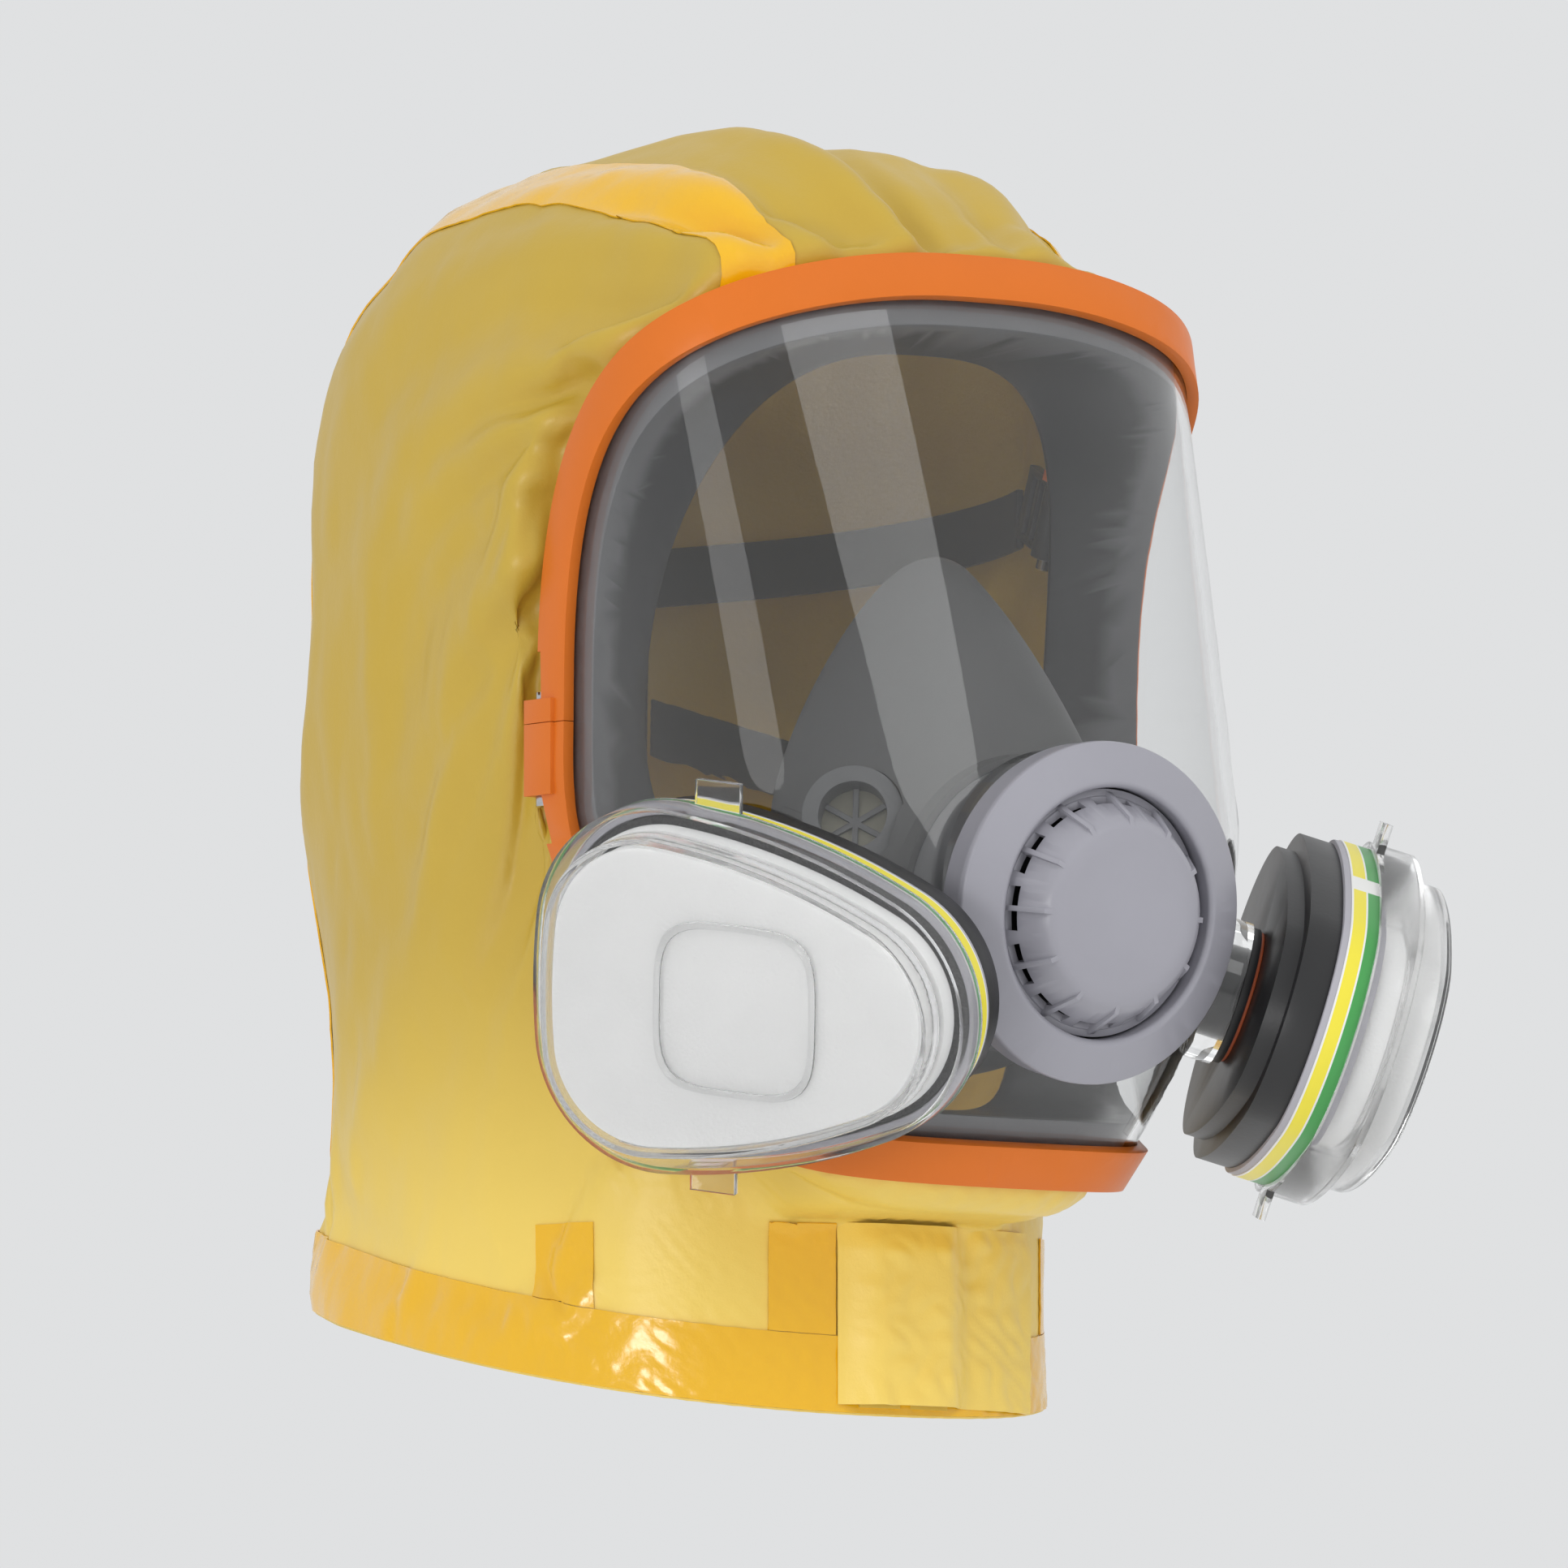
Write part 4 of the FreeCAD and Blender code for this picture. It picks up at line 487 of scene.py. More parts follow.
def fabric_material():
    """Coated fabric: a painted-light attribute runs from khaki to pale yellow, paler where light falls on
    the throat, with fine creases.
    """
    s = settings("smoke_hood")
    material = bpy.data.materials.get("coated_fabric")
    if material:
        return material
    material = shader("coated_fabric", s.fabric, 0.42, Coat_Weight=0.12, Coat_Roughness=0.3)
    bsdf = material.node_tree.nodes["Principled BSDF"]
    # The attribute is painted light, paler low on the neck. The noise patches add random tone to it.
    shade = node(material, "ShaderNodeAttribute", attribute_name="shade")
    coords = node(material, "ShaderNodeTexCoord")
    patches = node(material, "ShaderNodeTexNoise", Scale=22.0, Detail=3.0)
    wire(material, coords, "Object", patches, "Vector")
    soften = node(material, "ShaderNodeMath", operation="MULTIPLY_ADD")
    soften.inputs[1].default_value = 0.22
    soften.inputs[2].default_value = -0.11
    wire(material, patches, "Fac", soften, 0)
    total = node(material, "ShaderNodeMath", operation="ADD", use_clamp=True)
    wire(material, soften, 0, total, 0)
    wire(material, shade, "Fac", total, 1)
    mix = node(material, "ShaderNodeMix", data_type="RGBA")
    mix.inputs[MIX_A].default_value = (*s.fabric, 1)
    mix.inputs[MIX_B].default_value = (*s.fabric_painted_lit, 1)
    wire(material, total, 0, mix, 0)
    wire(material, mix, MIX_RESULT, bsdf, "Base Color")
    creases = node(material, "ShaderNodeTexNoise", Scale=95.0, Detail=6.0, Roughness=0.62)
    wire(material, coords, "Object", creases, "Vector")
    grain = node(material, "ShaderNodeTexNoise", Scale=1400.0, Detail=2.0)
    wire(material, coords, "Object", grain, "Vector")
    bump = node(material, "ShaderNodeBump", Strength=0.35, Distance=0.0009)
    wire(material, creases, "Fac", bump, "Height")
    fine = node(material, "ShaderNodeBump", Strength=0.25, Distance=0.0001)
    wire(material, grain, "Fac", fine, "Height")
    wire(material, bump, "Normal", fine, "Normal")
    wire(material, fine, "Normal", bsdf, "Normal")
    return material


def tape_material():
    """Glossy heat-sealed tape with a fine crinkle."""
    film = shader("seam_tape_film", settings("smoke_hood").tape, 0.24, Coat_Weight=0.5, Coat_Roughness=0.12)
    return bumpy(film, 170.0, 0.45, 0.0008, 5.0)


def flap_rubber():
    return shader("valve_flap_rubber", (0.34, 0.32, 0.24), 0.55)


def gasket_rubber():
    return shader("gasket_red", settings("smoke_filter").gasket_colour, 0.5)


def bright_metal():
    return shader("polished_steel", (0.55, 0.55, 0.56), 0.25, Metallic=1.0)


def tone_ramp(material, blend, attribute, stops):
    """Drives a colour of the shader by a piece's own attribute, through sharp steps or soft ones."""
    bsdf = material.node_tree.nodes["Principled BSDF"]
    source = node(material, "ShaderNodeAttribute", attribute_name=attribute)
    steps = node(material, "ShaderNodeValToRGB")
    steps.color_ramp.interpolation = blend
    elements = steps.color_ramp.elements
    while len(elements) < len(stops):
        elements.new(0.5)
    for element, (position, tone) in zip(elements, stops):
        element.position, element.color = position, (*tone, 1)
    wire(material, source, "Fac", steps, "Fac")
    wire(material, steps, "Color", bsdf, "Base Color")
    return steps


def label_material():
    """Two plain stripes round the can, by height along its axis, and a plain white patch."""
    f = settings("smoke_filter")
    material = bpy.data.materials.get("label_band")
    if material:
        return material
    material = shader("label_band", f.stripe_yellow, 0.35)
    white, yellow, green = (0.80, 0.80, 0.78), tuple(f.stripe_yellow), tuple(f.stripe_green)
    off, on = (0, 0, 0), (1, 1, 1)
    stripes = tone_ramp(material, "CONSTANT", "band",
                        ((0.0, white), (0.06, yellow), (0.47, white), (0.53, green), (0.94, white)))
    patch = tone_ramp(material, "CONSTANT", "round", ((0.0, off), (0.30, on), (0.335, off)))
    mix = node(material, "ShaderNodeMix", data_type="RGBA")
    wire(material, patch, "Color", mix, 0)
    wire(material, stripes, "Color", mix, MIX_A)
    mix.inputs[MIX_B].default_value = (*white, 1)
    wire(material, mix, MIX_RESULT, material.node_tree.nodes["Principled BSDF"], "Base Color")
    return material


# ------------------------------------------------------------------ hood

AROUND, ALONG = 208, 58  # columns round the face opening, and rows back to the hem
GATHER_SEED = 7
LIP_IN, LIP_OUT = -0.0021, -0.0085  # where the fabric leaves the clamp frame's edge
NECK_LEVEL = 0.01  # the height at which the neck's section is read
WALL_GAP = 0.0006  # how far the fabric's outside stands off the hood's form
DRAPE_LIMIT = 0.0030


def hood_paths():
    """Rows of points from the face opening, over the head, to the neck hem."""
    s = settings("smoke_hood")
    start, way, end, lips = [], [], [], []
    for i in range(AROUND + 1):
        phi = -math.pi / 2 + LOOP * i / AROUND
        edge = in_band(phi, LIP_IN, LIP_OUT)
        hem = hood_point(phi + math.pi / 2, NECK_LEVEL)
        hem.z = s.hem_rise * (hem.y + s.neck_half_depth) / (2 * s.neck_half_depth)
        lips.append(edge)
        end.append(hem)
    lips, end = np.array(lips), np.array(end)
    first, last = unit(lips - HEAD_CENTRE), unit(end - HEAD_CENTRE)
    rise = ramp(np.sin(-math.pi / 2 + LOOP * np.arange(AROUND + 1) / AROUND) * 0.5 + 0.5)[:, None]
    over = np.array((0.0, 0.45, 0.9)) * (0.1 + 1.5 * rise ** 2) + np.array((0.0, 0.2, -0.1)) * (1 - rise)
    middle = unit(first + last + over)
    share = np.linspace(0, 1, ALONG + 1)[:, None, None]
    paths = first * (1 - share) ** 2 + middle * 2.2 * share * (1 - share) + last * share ** 2
    points = onto_form(unit(paths))
    points[0], points[-1] = lips, end
    for step in range(60):
        inner = points[1:-1]
        ahead = np.concatenate([inner[:, 1:], inner[:, 1:2]], axis=1)
        behind = np.concatenate([inner[:, -2:-1], inner[:, :-1]], axis=1)
        inner = (points[:-2] + points[2:] + ahead + behind) / 4
        points[1:-1] = onto_form(unit(inner - HEAD_CENTRE)) if step < 52 else inner
        points[:, -1] = points[:, 0]
    gap = np.cumsum(np.linalg.norm(np.diff(points, axis=0), axis=2), axis=0)
    gap = np.concatenate([np.zeros((1, AROUND + 1)), gap])
    return points, gap


def lift_over_hem(points, gap):
    """Near the face opening the fabric leaves the clamp frame's edge and turns back over the elastic hem."""
    made = points.copy()
    for i in range(AROUND + 1):
        phi = -math.pi / 2 + LOOP * i / AROUND
        here, inward, normal = outline_frame(phi)
        for j in range(1, 9):
            reach = gap[j, i]
            if reach > 0.024:
                break
            out = LIP_IN - reach * 0.8
            rise = LIP_OUT + 0.0035 * math.sin(min(1.0, reach / 0.006) * math.pi / 2)
            guide = np.array(here + inward * out + normal * rise)
            blend = float(ramp((reach - 0.005) / 0.017))
            made[j, i] = guide * (1 - blend) + points[j, i] * blend
    return made


def folds(points, gap):
    """How far each point of the fabric moves outward: gathers at the face opening and broad soft folds."""
    rng = random.Random(GATHER_SEED)
    phase = [rng.uniform(0, LOOP) for _ in range(8)]
    moved = np.zeros(gap.shape)
    for i in range(AROUND + 1):
        turn = LOOP * (i % AROUND) / AROUND
        phi = turn - math.pi / 2
        crown = max(0.0, math.sin(phi)) ** 0.9
        right = 1.0 if math.cos(phi) < 0 else 0.7
        uneven = 0.65 + 0.35 * math.cos(5 * turn + phase[6]) * math.cos(3 * turn + phase[7])
        strength = (0.0016 + 0.0090 * crown * right) * uneven
        wave = 0.0
        for k, (count, share) in enumerate(((31, 0.62), (47, 0.30), (17, 0.55))):
            bend = phase[k] + 0.5 * math.sin(2 * turn + phase[k])
            wave += share * (2 * abs(math.cos(count * turn / 2 + bend)) - 1.25)
        for j in range(ALONG + 1):
            d = gap[j, i]
            x, y, z = points[j, i]
            reach = float(ramp(d / 0.015) * math.exp(-max(0.0, d - 0.018) / 0.040))
            broad = noise.noise(Vector((x * 15, y * 15, z * 8 + 3.1))) * 0.0060
            crease = 0.0010 - abs(noise.noise(Vector((x * 24 + 5, y * 24, z * 10)))) * 0.0060
            valley = -0.0070 * math.exp(-((x + 0.006) / 0.010) ** 2) * float(ramp((0.10 - d) / 0.10)) * crown
            puff = 0.0045 * math.exp(-((y + 0.075) / 0.035) ** 2) * float(ramp((z - 0.27) / 0.03))
            free = float(ramp(d / 0.03) * ramp((gap[-1, i] - d) / 0.03))
            moved[j, i] = strength * wave * reach + (broad + crease) * free + puff
            moved[j, i] += valley * float(ramp(d / 0.01))
    return moved


def surface_normals(points):
    """The outward directions of rows of points."""
    down = np.gradient(points, axis=0)
    around = np.roll(points[:, :-1], -1, axis=1) - np.roll(points[:, :-1], 1, axis=1)
    around = np.concatenate([around, around[:, :1]], axis=1)
    normal = unit(np.cross(around, down))
    outward = points - HEAD_CENTRE
    flip = np.sign((normal * outward).sum(-1, keepdims=True))
    return normal * flip


def drape(piece, pinned, gathered, limit, frames=22):
    """Lets the fabric settle into its slack, then keeps each point within a limit of where it began."""
    s = settings("smoke_hood")
    before = [v.co.copy() for v in piece.data.vertices]
    normals = [v.normal.copy() for v in piece.data.vertices]
    pins = piece.vertex_groups.new(name="pins")
    for index, weight in pinned.items():
        pins.add([index], weight, "REPLACE")
    shrink = piece.vertex_groups.new(name="gather")
    for index, weight in gathered.items():
        shrink.add([index], weight, "REPLACE")
    cloth = piece.modifiers.new("Cloth", "CLOTH")
    cloth.settings.quality = 6
    cloth.settings.mass = 0.12
    cloth.settings.air_damping = 6
    cloth.settings.tension_stiffness = 25
    cloth.settings.compression_stiffness = 25
    cloth.settings.shear_stiffness = 8
    cloth.settings.bending_stiffness = 0.9
    cloth.settings.vertex_group_mass = "pins"
    cloth.settings.pin_stiffness = 1.0
    cloth.settings.shrink_min = -s.slack * 0.35
    cloth.settings.shrink_max = -s.slack
    cloth.settings.vertex_group_shrink = "gather"
    cloth.collision_settings.use_self_collision = False
    cloth.settings.effector_weights.gravity = 0.25
    cloth.settings.uniform_pressure_force = 0.5
    cloth.settings.use_pressure = True
    cloth.point_cache.frame_start, cloth.point_cache.frame_end = 1, frames
    scene = bpy.context.scene
    for step in range(1, frames + 1):
        scene.frame_set(step)
    settled = piece.evaluated_get(bpy.context.evaluated_depsgraph_get()).data
    places = [v.co.copy() for v in settled.vertices]
    piece.modifiers.clear()
    piece.vertex_groups.clear()
    for vert, place, home, normal in zip(piece.data.vertices, places, before, normals):
        move = place - home
        if move.length > limit:
            move *= limit / move.length
        vert.co = home + move
    scene.frame_set(1)


def straight_weight(p):
    """How firmly the fabric stays flat: fully at the throat's closure, and free over the head."""
    front = float(ramp((-0.045 - p[1]) / 0.03))
    low = float(ramp((0.075 - p[2]) / 0.03))
    return front * low


class SMOKE_OT_hood(bpy.types.Operator):
    """Sews the hood's fabric from the clamp frame back over the head and down to the neck hem"""
    bl_idname = "smoke.hood"
    bl_label = "Hood Fabric"

    def execute(self, context):
        s = settings("smoke_hood")
        points, gap = hood_paths()
        base = lift_over_hem(points, gap)
        normals = surface_normals(base)
        calm = np.array([[1 - straight_weight(p) for p in row] for row in base])
        shaped = base + normals * (folds(base, gap) * calm + WALL_GAP)[..., None]
        bm, table = grid(AROUND, ALONG)
        places = bm.verts.layers.int["place"]
        for j, row in enumerate(table):
            for i, vert in enumerate(row):
                vert.co = Vector(shaped[j, i])
                vert[places] = j * (AROUND + 1) + i
        bmesh.ops.remove_doubles(bm, verts=[r[0] for r in table] + [r[-1] for r in table], dist=1e-5)
        point_outward(bm, Vector(HEAD_CENTRE))
        keep, gather = {}, {}
        bm.verts.index_update()
        for vert in bm.verts:
            j, i = divmod(vert[places], AROUND + 1)
            edge = 1 - float(ramp((gap[j, i] - 0.002) / 0.006))
            hem = 1 - float(ramp((gap[-1, i] - gap[j, i]) / 0.016))
            keep[vert.index] = min(1.0, max(edge, hem, 0.97 * straight_weight(base[j, i])))
            gather[vert.index] = float(math.exp(-gap[j, i] / 0.05))
        bm.verts.layers.int.remove(places)
        piece = add_object("hood_fabric", bm, fabric_material(), "hood",
                           ("hood_shell", "chin_gusset", "face_collar"), None)
        for face in piece.data.polygons:
            face.use_smooth = True
        drape(piece, keep, gather, DRAPE_LIMIT)
        finish_fabric(piece)
        return {"FINISHED"}


def finish_fabric(piece):
    """Refines the draped sheet, paints light onto it (paler from the head down to the neck) and gives it its
    thickness.
    """
    s = settings("smoke_hood")
    bm = bmesh.new()
    bm.from_mesh(piece.data)
    bmesh.ops.subdivide_edges(bm, edges=bm.edges, cuts=1, use_grid_fill=True, smooth=1.0)
    for _step in range(2):
        bmesh.ops.smooth_vert(bm, verts=[v for v in bm.verts if not v.is_boundary], factor=0.5,
                              use_axis_x=True, use_axis_y=True, use_axis_z=True)
    bm.normal_update()
    for vert in bm.verts:
        p = vert.co
        crinkle = abs(noise.noise(Vector((p.x * 70, p.y * 70, p.z * 48)))) - 0.2
        vert.co += vert.normal * crinkle * 0.0009 * (1 - straight_weight(p))
    bm.normal_update()
    # Painted light: the fabric is painted khaki over the head and paler low on the neck, where light falls
    # on the throat.
    layer = bm.verts.layers.float.new("shade")
    for vert in bm.verts:
        vert[layer] = 1 - float(ramp((vert.co.z - 0.02) / 0.11))
    outside = bpy.data.meshes.new("fabric_outside")
    bm.to_mesh(outside)
    thicken(bm, s.fabric_thickness)
    for face in bm.faces:
        face.smooth = True
    bm.to_mesh(piece.data)
    bm.free()


def tape_film(name, cuts, lift, replaces):
    """A heat-sealed tape: the fabric's own outside between cutting planes, lifted just off it."""
    bm = bmesh.new()
    bm.from_mesh(bpy.data.meshes["fabric_outside"])
    for point, away in cuts:
        bmesh.ops.bisect_plane(bm, geom=bm.verts[:] + bm.edges[:] + bm.faces[:], dist=1e-7, plane_co=point,
                               plane_no=away, clear_outer=True)
    bm.normal_update()
    for vert in bm.verts:
        p = vert.co
        vert.co = p + vert.normal * (lift + abs(noise.noise(p * 150)) * 0.0004)
    thicken(bm, 0.00045)
    return add_object(name, bm, tape_material(), "hood", replaces, 60)


def neck_turn(arc):
    """The turn from the front at which an arc length round the neck ends."""
    turn, run, step = 0.0, 0.0, 0.002
    while run < abs(arc):
        run += (hood_point(turn + step, NECK_LEVEL) - hood_point(turn, NECK_LEVEL)).length
        turn += step
    return math.copysign(turn, arc)


class SMOKE_OT_tapes(bpy.types.Operator):
    """Lays the heat-sealed tapes over the crown, neck and throat seams"""
    bl_idname = "smoke.tapes"
    bl_label = "Seam Tapes"

    def execute(self, context):
        s = settings("smoke_hood")
        half, tape_top = s.seam_tape_width / 2, 0.019
        hem_slope = Vector((0, -s.hem_rise, 2 * s.neck_half_depth)).normalized()
        tape_foot = 0.0006
        hem_low, hem_high = (Vector((0, -s.neck_half_depth, height))
                             for height in (tape_foot, tape_foot + tape_top))
        for name, side in (("right", -1), ("left", 1)):
            inner, outer = (Vector((side * (s.crown_seam + edge), 0, 0)) for edge in (-half, half))
            across = Vector((side, 0, 0))
            cuts = ((inner, -across), (outer, across), (hem_high, -hem_slope),
                    (Vector((0, -0.088, 0.205)), Vector((0, -0.9, -1))))
            tape_film(f"crown_tape_{name}_film", cuts, 0.0005, (f"crown_tape_{name}",))
        tape_film("neck_seam_tape_film", ((hem_low, -hem_slope), (hem_high, hem_slope)), 0.0006,
                  ("neck_seam_tape",))
        throat = (("throat_tape_right", -0.098), ("flap_tape", -0.036), ("throat_tape_left", 0.062))
        for name, arc in throat:
            start, stop = (hood_point(neck_turn(arc + step), 0.02) for step in (0.0, s.seam_tape_width))
            along = (stop - start).normalized()
            cuts = ((start, -along), (stop, along), (hem_high + hem_slope * 0.0002, -hem_slope),
                    (Vector((0, 0, 0.0478)), UP), (Vector((0, 0, 0)), Vector((-start.x, 0.06, 0))))
            tape_film(f"{name}_film", cuts, 0.0005, (name,))
        bpy.data.meshes.remove(bpy.data.meshes["fabric_outside"])
        return {"FINISHED"}


FLAP_ROOT, FLAP_END, FLAP_FOOT, FLAP_TOP = -0.0176, 0.048, 0.0026, 0.048


def flap_stand(arc):
    """How far the storm flap stands off the neck: high over the zip, and low at its two edges."""
    over_zip = float(ramp((0.021 - abs(arc - 0.002)) / 0.0125))
    return 0.0014 + 0.0056 * over_zip + 0.0010 * float(ramp((arc - 0.02) / 0.02))


class SMOKE_OT_closure(bpy.types.Operator):
    """Makes the storm flap over the throat's zip, and finishes the zip"""
    bl_idname = "smoke.closure"
    bl_label = "Throat Closure"

    def execute(self, context):
        columns, rows = 72, 44
        bm, table = grid(columns, rows)
        for j, row in enumerate(table):
            for i, vert in enumerate(row):
                u, v = i / columns, j / rows
                arc = FLAP_ROOT + (FLAP_END - FLAP_ROOT) * u
                z = FLAP_FOOT + (FLAP_TOP - FLAP_FOOT) * v
                soft = noise.noise(Vector((u * 4.2, v * 2.6, 4.0))) * 0.0011
                crease = abs(noise.noise(Vector((u * 9 + v * 3, v * 7, 9.0)))) * 0.0012
                stand = flap_stand(arc) * (1 - 0.4 * float(ramp((v - 0.84) / 0.16)))
                vert.co = hood_point(neck_turn(arc), z, stand + (soft + crease) * float(ramp(u * 5)))
        point_outward(bm, Vector(HEAD_CENTRE))
        # Painted light: the storm flap is painted fully pale, as the lit throat.
        layer = bm.verts.layers.float.new("shade")
        for vert in bm.verts:
            vert[layer] = 1.0
        thicken(bm, 0.0007)
        flap = add_object("storm_flap_fabric", bm, fabric_material(), None, (), 60)
        root, bend = (hood_point(neck_turn(FLAP_ROOT + step), 0.025, 0.0014) for step in (0.0, 0.012))
        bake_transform(flap)
        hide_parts("storm_flap")
        zip_cloth = bumpy(shader("zip_cloth", (0.80, 0.55, 0.08), 0.7), 1500.0, 0.5, 0.0002)
        finished_copy("zip_tapes", "zip_cloth_tapes", zip_cloth, 0)
        finished_copy("zip_teeth", "zip_chain", shader("zip_chain", (0.75, 0.50, 0.05), 0.35), 0.00015)
        pull = shader("zip_pull", (0.78, 0.52, 0.06), 0.3, Metallic=0.3)
        finished_copy("zip_slider", "zip_pull", pull, 0.0003)
        hem = bumpy(shader("hem_fabric", settings("smoke_hood").fabric, 0.5), 95.0, 0.35, 0.0009)
        finished_copy("face_hem", "elastic_hem", hem, 0.0006)
        finished_copy("face_elastic", "hem_elastic", shader("hem_elastic", (0.7, 0.68, 0.62), 0.8), 0)
        return {"FINISHED"}


# ------------------------------------------------------------------ mask

class SMOKE_OT_clamp(bpy.types.Operator):
    """Carries the two halves of the clamp frame round the lens, with their screwed lugs"""
    bl_idname = "smoke.clamp"
    bl_label = "Clamp Frame"

    def execute(self, context):
        m = settings("smoke_mask")
        plastic = shader("clamp_plastic", m.frame_colour, 0.38, Specular_IOR_Level=0.3)
        orange = bumpy(plastic, 700.0, 0.12, 0.0002)
        for half in ("upper", "lower"):
            finished_copy(f"frame_{half}", f"clamp_{half}", orange, 0.0007)
        for kind in ("screws", "nuts"):
            finished_copy(f"frame_{kind}", f"clamp_{kind}", bright_metal(), 0.00025)
        return {"FINISHED"}


def port_foot(phi, radius, depth):
    """Where a tube about the port's axis meets the surface a set depth under the lens's outside."""
    m = settings("smoke_mask")
    place, inside, ahead = port_matrix(), -0.060, 0.0
    for _step in range(26):
        height = (inside + ahead) / 2
        p = place @ Vector((radius * math.cos(phi), radius * math.sin(phi), height))
        a, b = float(mask_half_width(p.z)) - depth, float(mask_depth(p.z)) - depth
        within = abs(p.x / a) ** SECTION_POWER + abs((p.y + m.side) / b) ** SECTION_POWER < 1
        inside, ahead = (height, ahead) if within else (inside, height)
    return p


def surface_place(point):
    """The turn and the height of a point by the mask's surface."""
    return math.atan2(point.x, -point.y - settings("smoke_mask").side), point.z


def lens_skin(place, depth):
    """The point at a depth under the mask's outside."""
    return mask_point(*place) - mask_normal(*place) * depth


def lens_row(radius, depth, share, count):
    """One closed row of the lens, between the port's tube (share 0) and the lens's edge (share 1)."""
    m = settings("smoke_mask")
    row = []
    for i in range(count + 1):
        phi = LOOP * (i % count) / count
        foot = port_foot(phi, radius, depth)
        near = surface_place(foot)
        here, inward, _normal = outline_frame(phi)
        far = surface_place(here + inward * m.lens_edge)
        place = [n + (f - n) * share for n, f in zip(near, far)]
        row.append(lens_skin(place, depth) + (foot - lens_skin(near, depth)) * (1 - share) ** 3)
    return row


def spun(bm, section, matrix, steps=72):
    """Turns a closed section of (radius, height) corners once round a frame's Z."""
    verts = [bm.verts.new(matrix @ Vector((radius, 0, height))) for radius, height in section]
    edges = [bm.edges.new((a, b)) for a, b in zip(verts, verts[1:] + verts[:1])]
    bmesh.ops.spin(bm, geom=verts + edges, cent=matrix.translation, axis=matrix.to_3x3() @ UP, angle=LOOP,
                   steps=steps, use_merge=True, use_normal_flip=False, use_duplicate=False)


class SMOKE_OT_lens(bpy.types.Operator):
    """Makes the clear wrap-round lens with its valve collar and filter bosses"""
    bl_idname = "smoke.lens"
    bl_label = "Lens"

    def execute(self, context):
        m = settings("smoke_mask")
        count = 180
        shares = (0, 0.03, 0.08, 0.15, 0.23, 0.32, 0.42, 0.52, 0.62, 0.72, 0.81, 0.89, 0.95, 1)
        bore = m.collar_radius - m.collar_wall
        place = port_matrix()
        turns = [LOOP * i / count for i in range(count + 1)]
        rims = [[place @ Vector((radius * math.cos(turn), radius * math.sin(turn), 0)) for turn in turns]
                for radius in (m.collar_radius, bore)]
        outer = [lens_row(m.collar_radius, 0, share, count) for share in shares]
        inner = [lens_row(bore, m.lens_wall, share, count) for share in shares]
        rows = [rims[0], *outer, *reversed(inner), rims[1], rims[0]]
        bm, table = grid(count, len(rows) - 1)
        for line, row in zip(table, rows):
            for vert, point in zip(line, row):
                vert.co = point
        bmesh.ops.remove_doubles(bm, verts=bm.verts, dist=2e-6)
        bore, radius, foot, face = 0.0122, 0.0184, -0.0208, -0.0034
        boss = ((bore, foot), (radius, foot), (radius, face), (bore, face))
        for side in (-1, 1):
            spun(bm, boss, filter_matrix(side))
        bmesh.ops.recalc_face_normals(bm, faces=bm.faces)
        clear = shader("clear_lens", (0.975, 0.98, 0.98), 0.02, IOR=1.5, Transmission_Weight=1.0)
        add_object("clear_lens", bm, clear, "hood", ("lens",), 40)
        return {"FINISHED"}


class SMOKE_OT_seal(bpy.types.Operator):
    """Makes the silicone face seal and the nose cup with its check valves"""
    bl_idname = "smoke.seal"
    bl_label = "Face Seal and Nose Cup"

    def execute(self, context):
        m = settings("smoke_mask")
        seal = bumpy(shader("seal_silicone", m.seal_colour, 0.42), 600.0, 0.1, 0.00006)
        # Painted shade: the seal darkens from the flange's grey to near black down its wall.
        tone_ramp(seal, "EASE", "deep", ((0.0, tuple(m.flange_colour)), (1.0, tuple(m.seal_colour))))
        skirt = finished_copy("face_seal", "face_seal_skirt", seal, 0.0005, 30)
        paint(skirt, "deep", seal_depth)
        cup = bumpy(shader("cup_silicone", m.cup_colour, 0.55), 600.0, 0.1, 0.00006)
        finished_copy("nose_cup", "nose_cup_body", cup, 0.0005, 30)
        seat = shader("check_valve_seat", (0.16, 0.16, 0.165), 0.45)
        finished_copy("cup_valve_seats", "check_valve_seats", seat, 0.0003)
        for side in ("right", "left"):
            finished_copy(f"{side}_cup_flap", f"{side}_check_flap", flap_rubber(), 0.0001)
        return {"FINISHED"}


class SMOKE_OT_valve(bpy.types.Operator):
    """Makes the exhalation valve: housing, seat, flap, ring and louvred cover"""
    bl_idname = "smoke.valve"
    bl_label = "Exhalation Valve"

    def execute(self, context):
        m = settings("smoke_mask")
        grey = bumpy(shader("valve_grey", m.port_colour, 0.34), 900.0, 0.1, 0.0001)
        housing = shader("housing_grey", (0.30, 0.30, 0.31), 0.4)
        black = shader("seat_black", (0.03, 0.03, 0.03), 0.4)
        finished_copy("valve_ring", "valve_bezel", grey, 0.0006)
        finished_copy("valve_cover", "valve_louvre_cover", grey, 0.0003)
        finished_copy("port_housing", "valve_housing", housing, 0.0004)
        finished_copy("port_o_ring", "valve_o_ring", gasket_rubber(), 0.0003)
        finished_copy("exhalation_valve_seat", "valve_seat", black, 0.0003)
        finished_copy("exhalation_flap", "exhalation_disc", flap_rubber(), 0.0002)
        return {"FINISHED"}


def draw_in(bm, step=0.00025):
    """Draws a soft pad in a little, so that it lies clear of the cap over it."""
    bm.normal_update()
    for vert, normal in [(vert, vert.normal.copy()) for vert in bm.verts]:
        vert.co -= normal * step


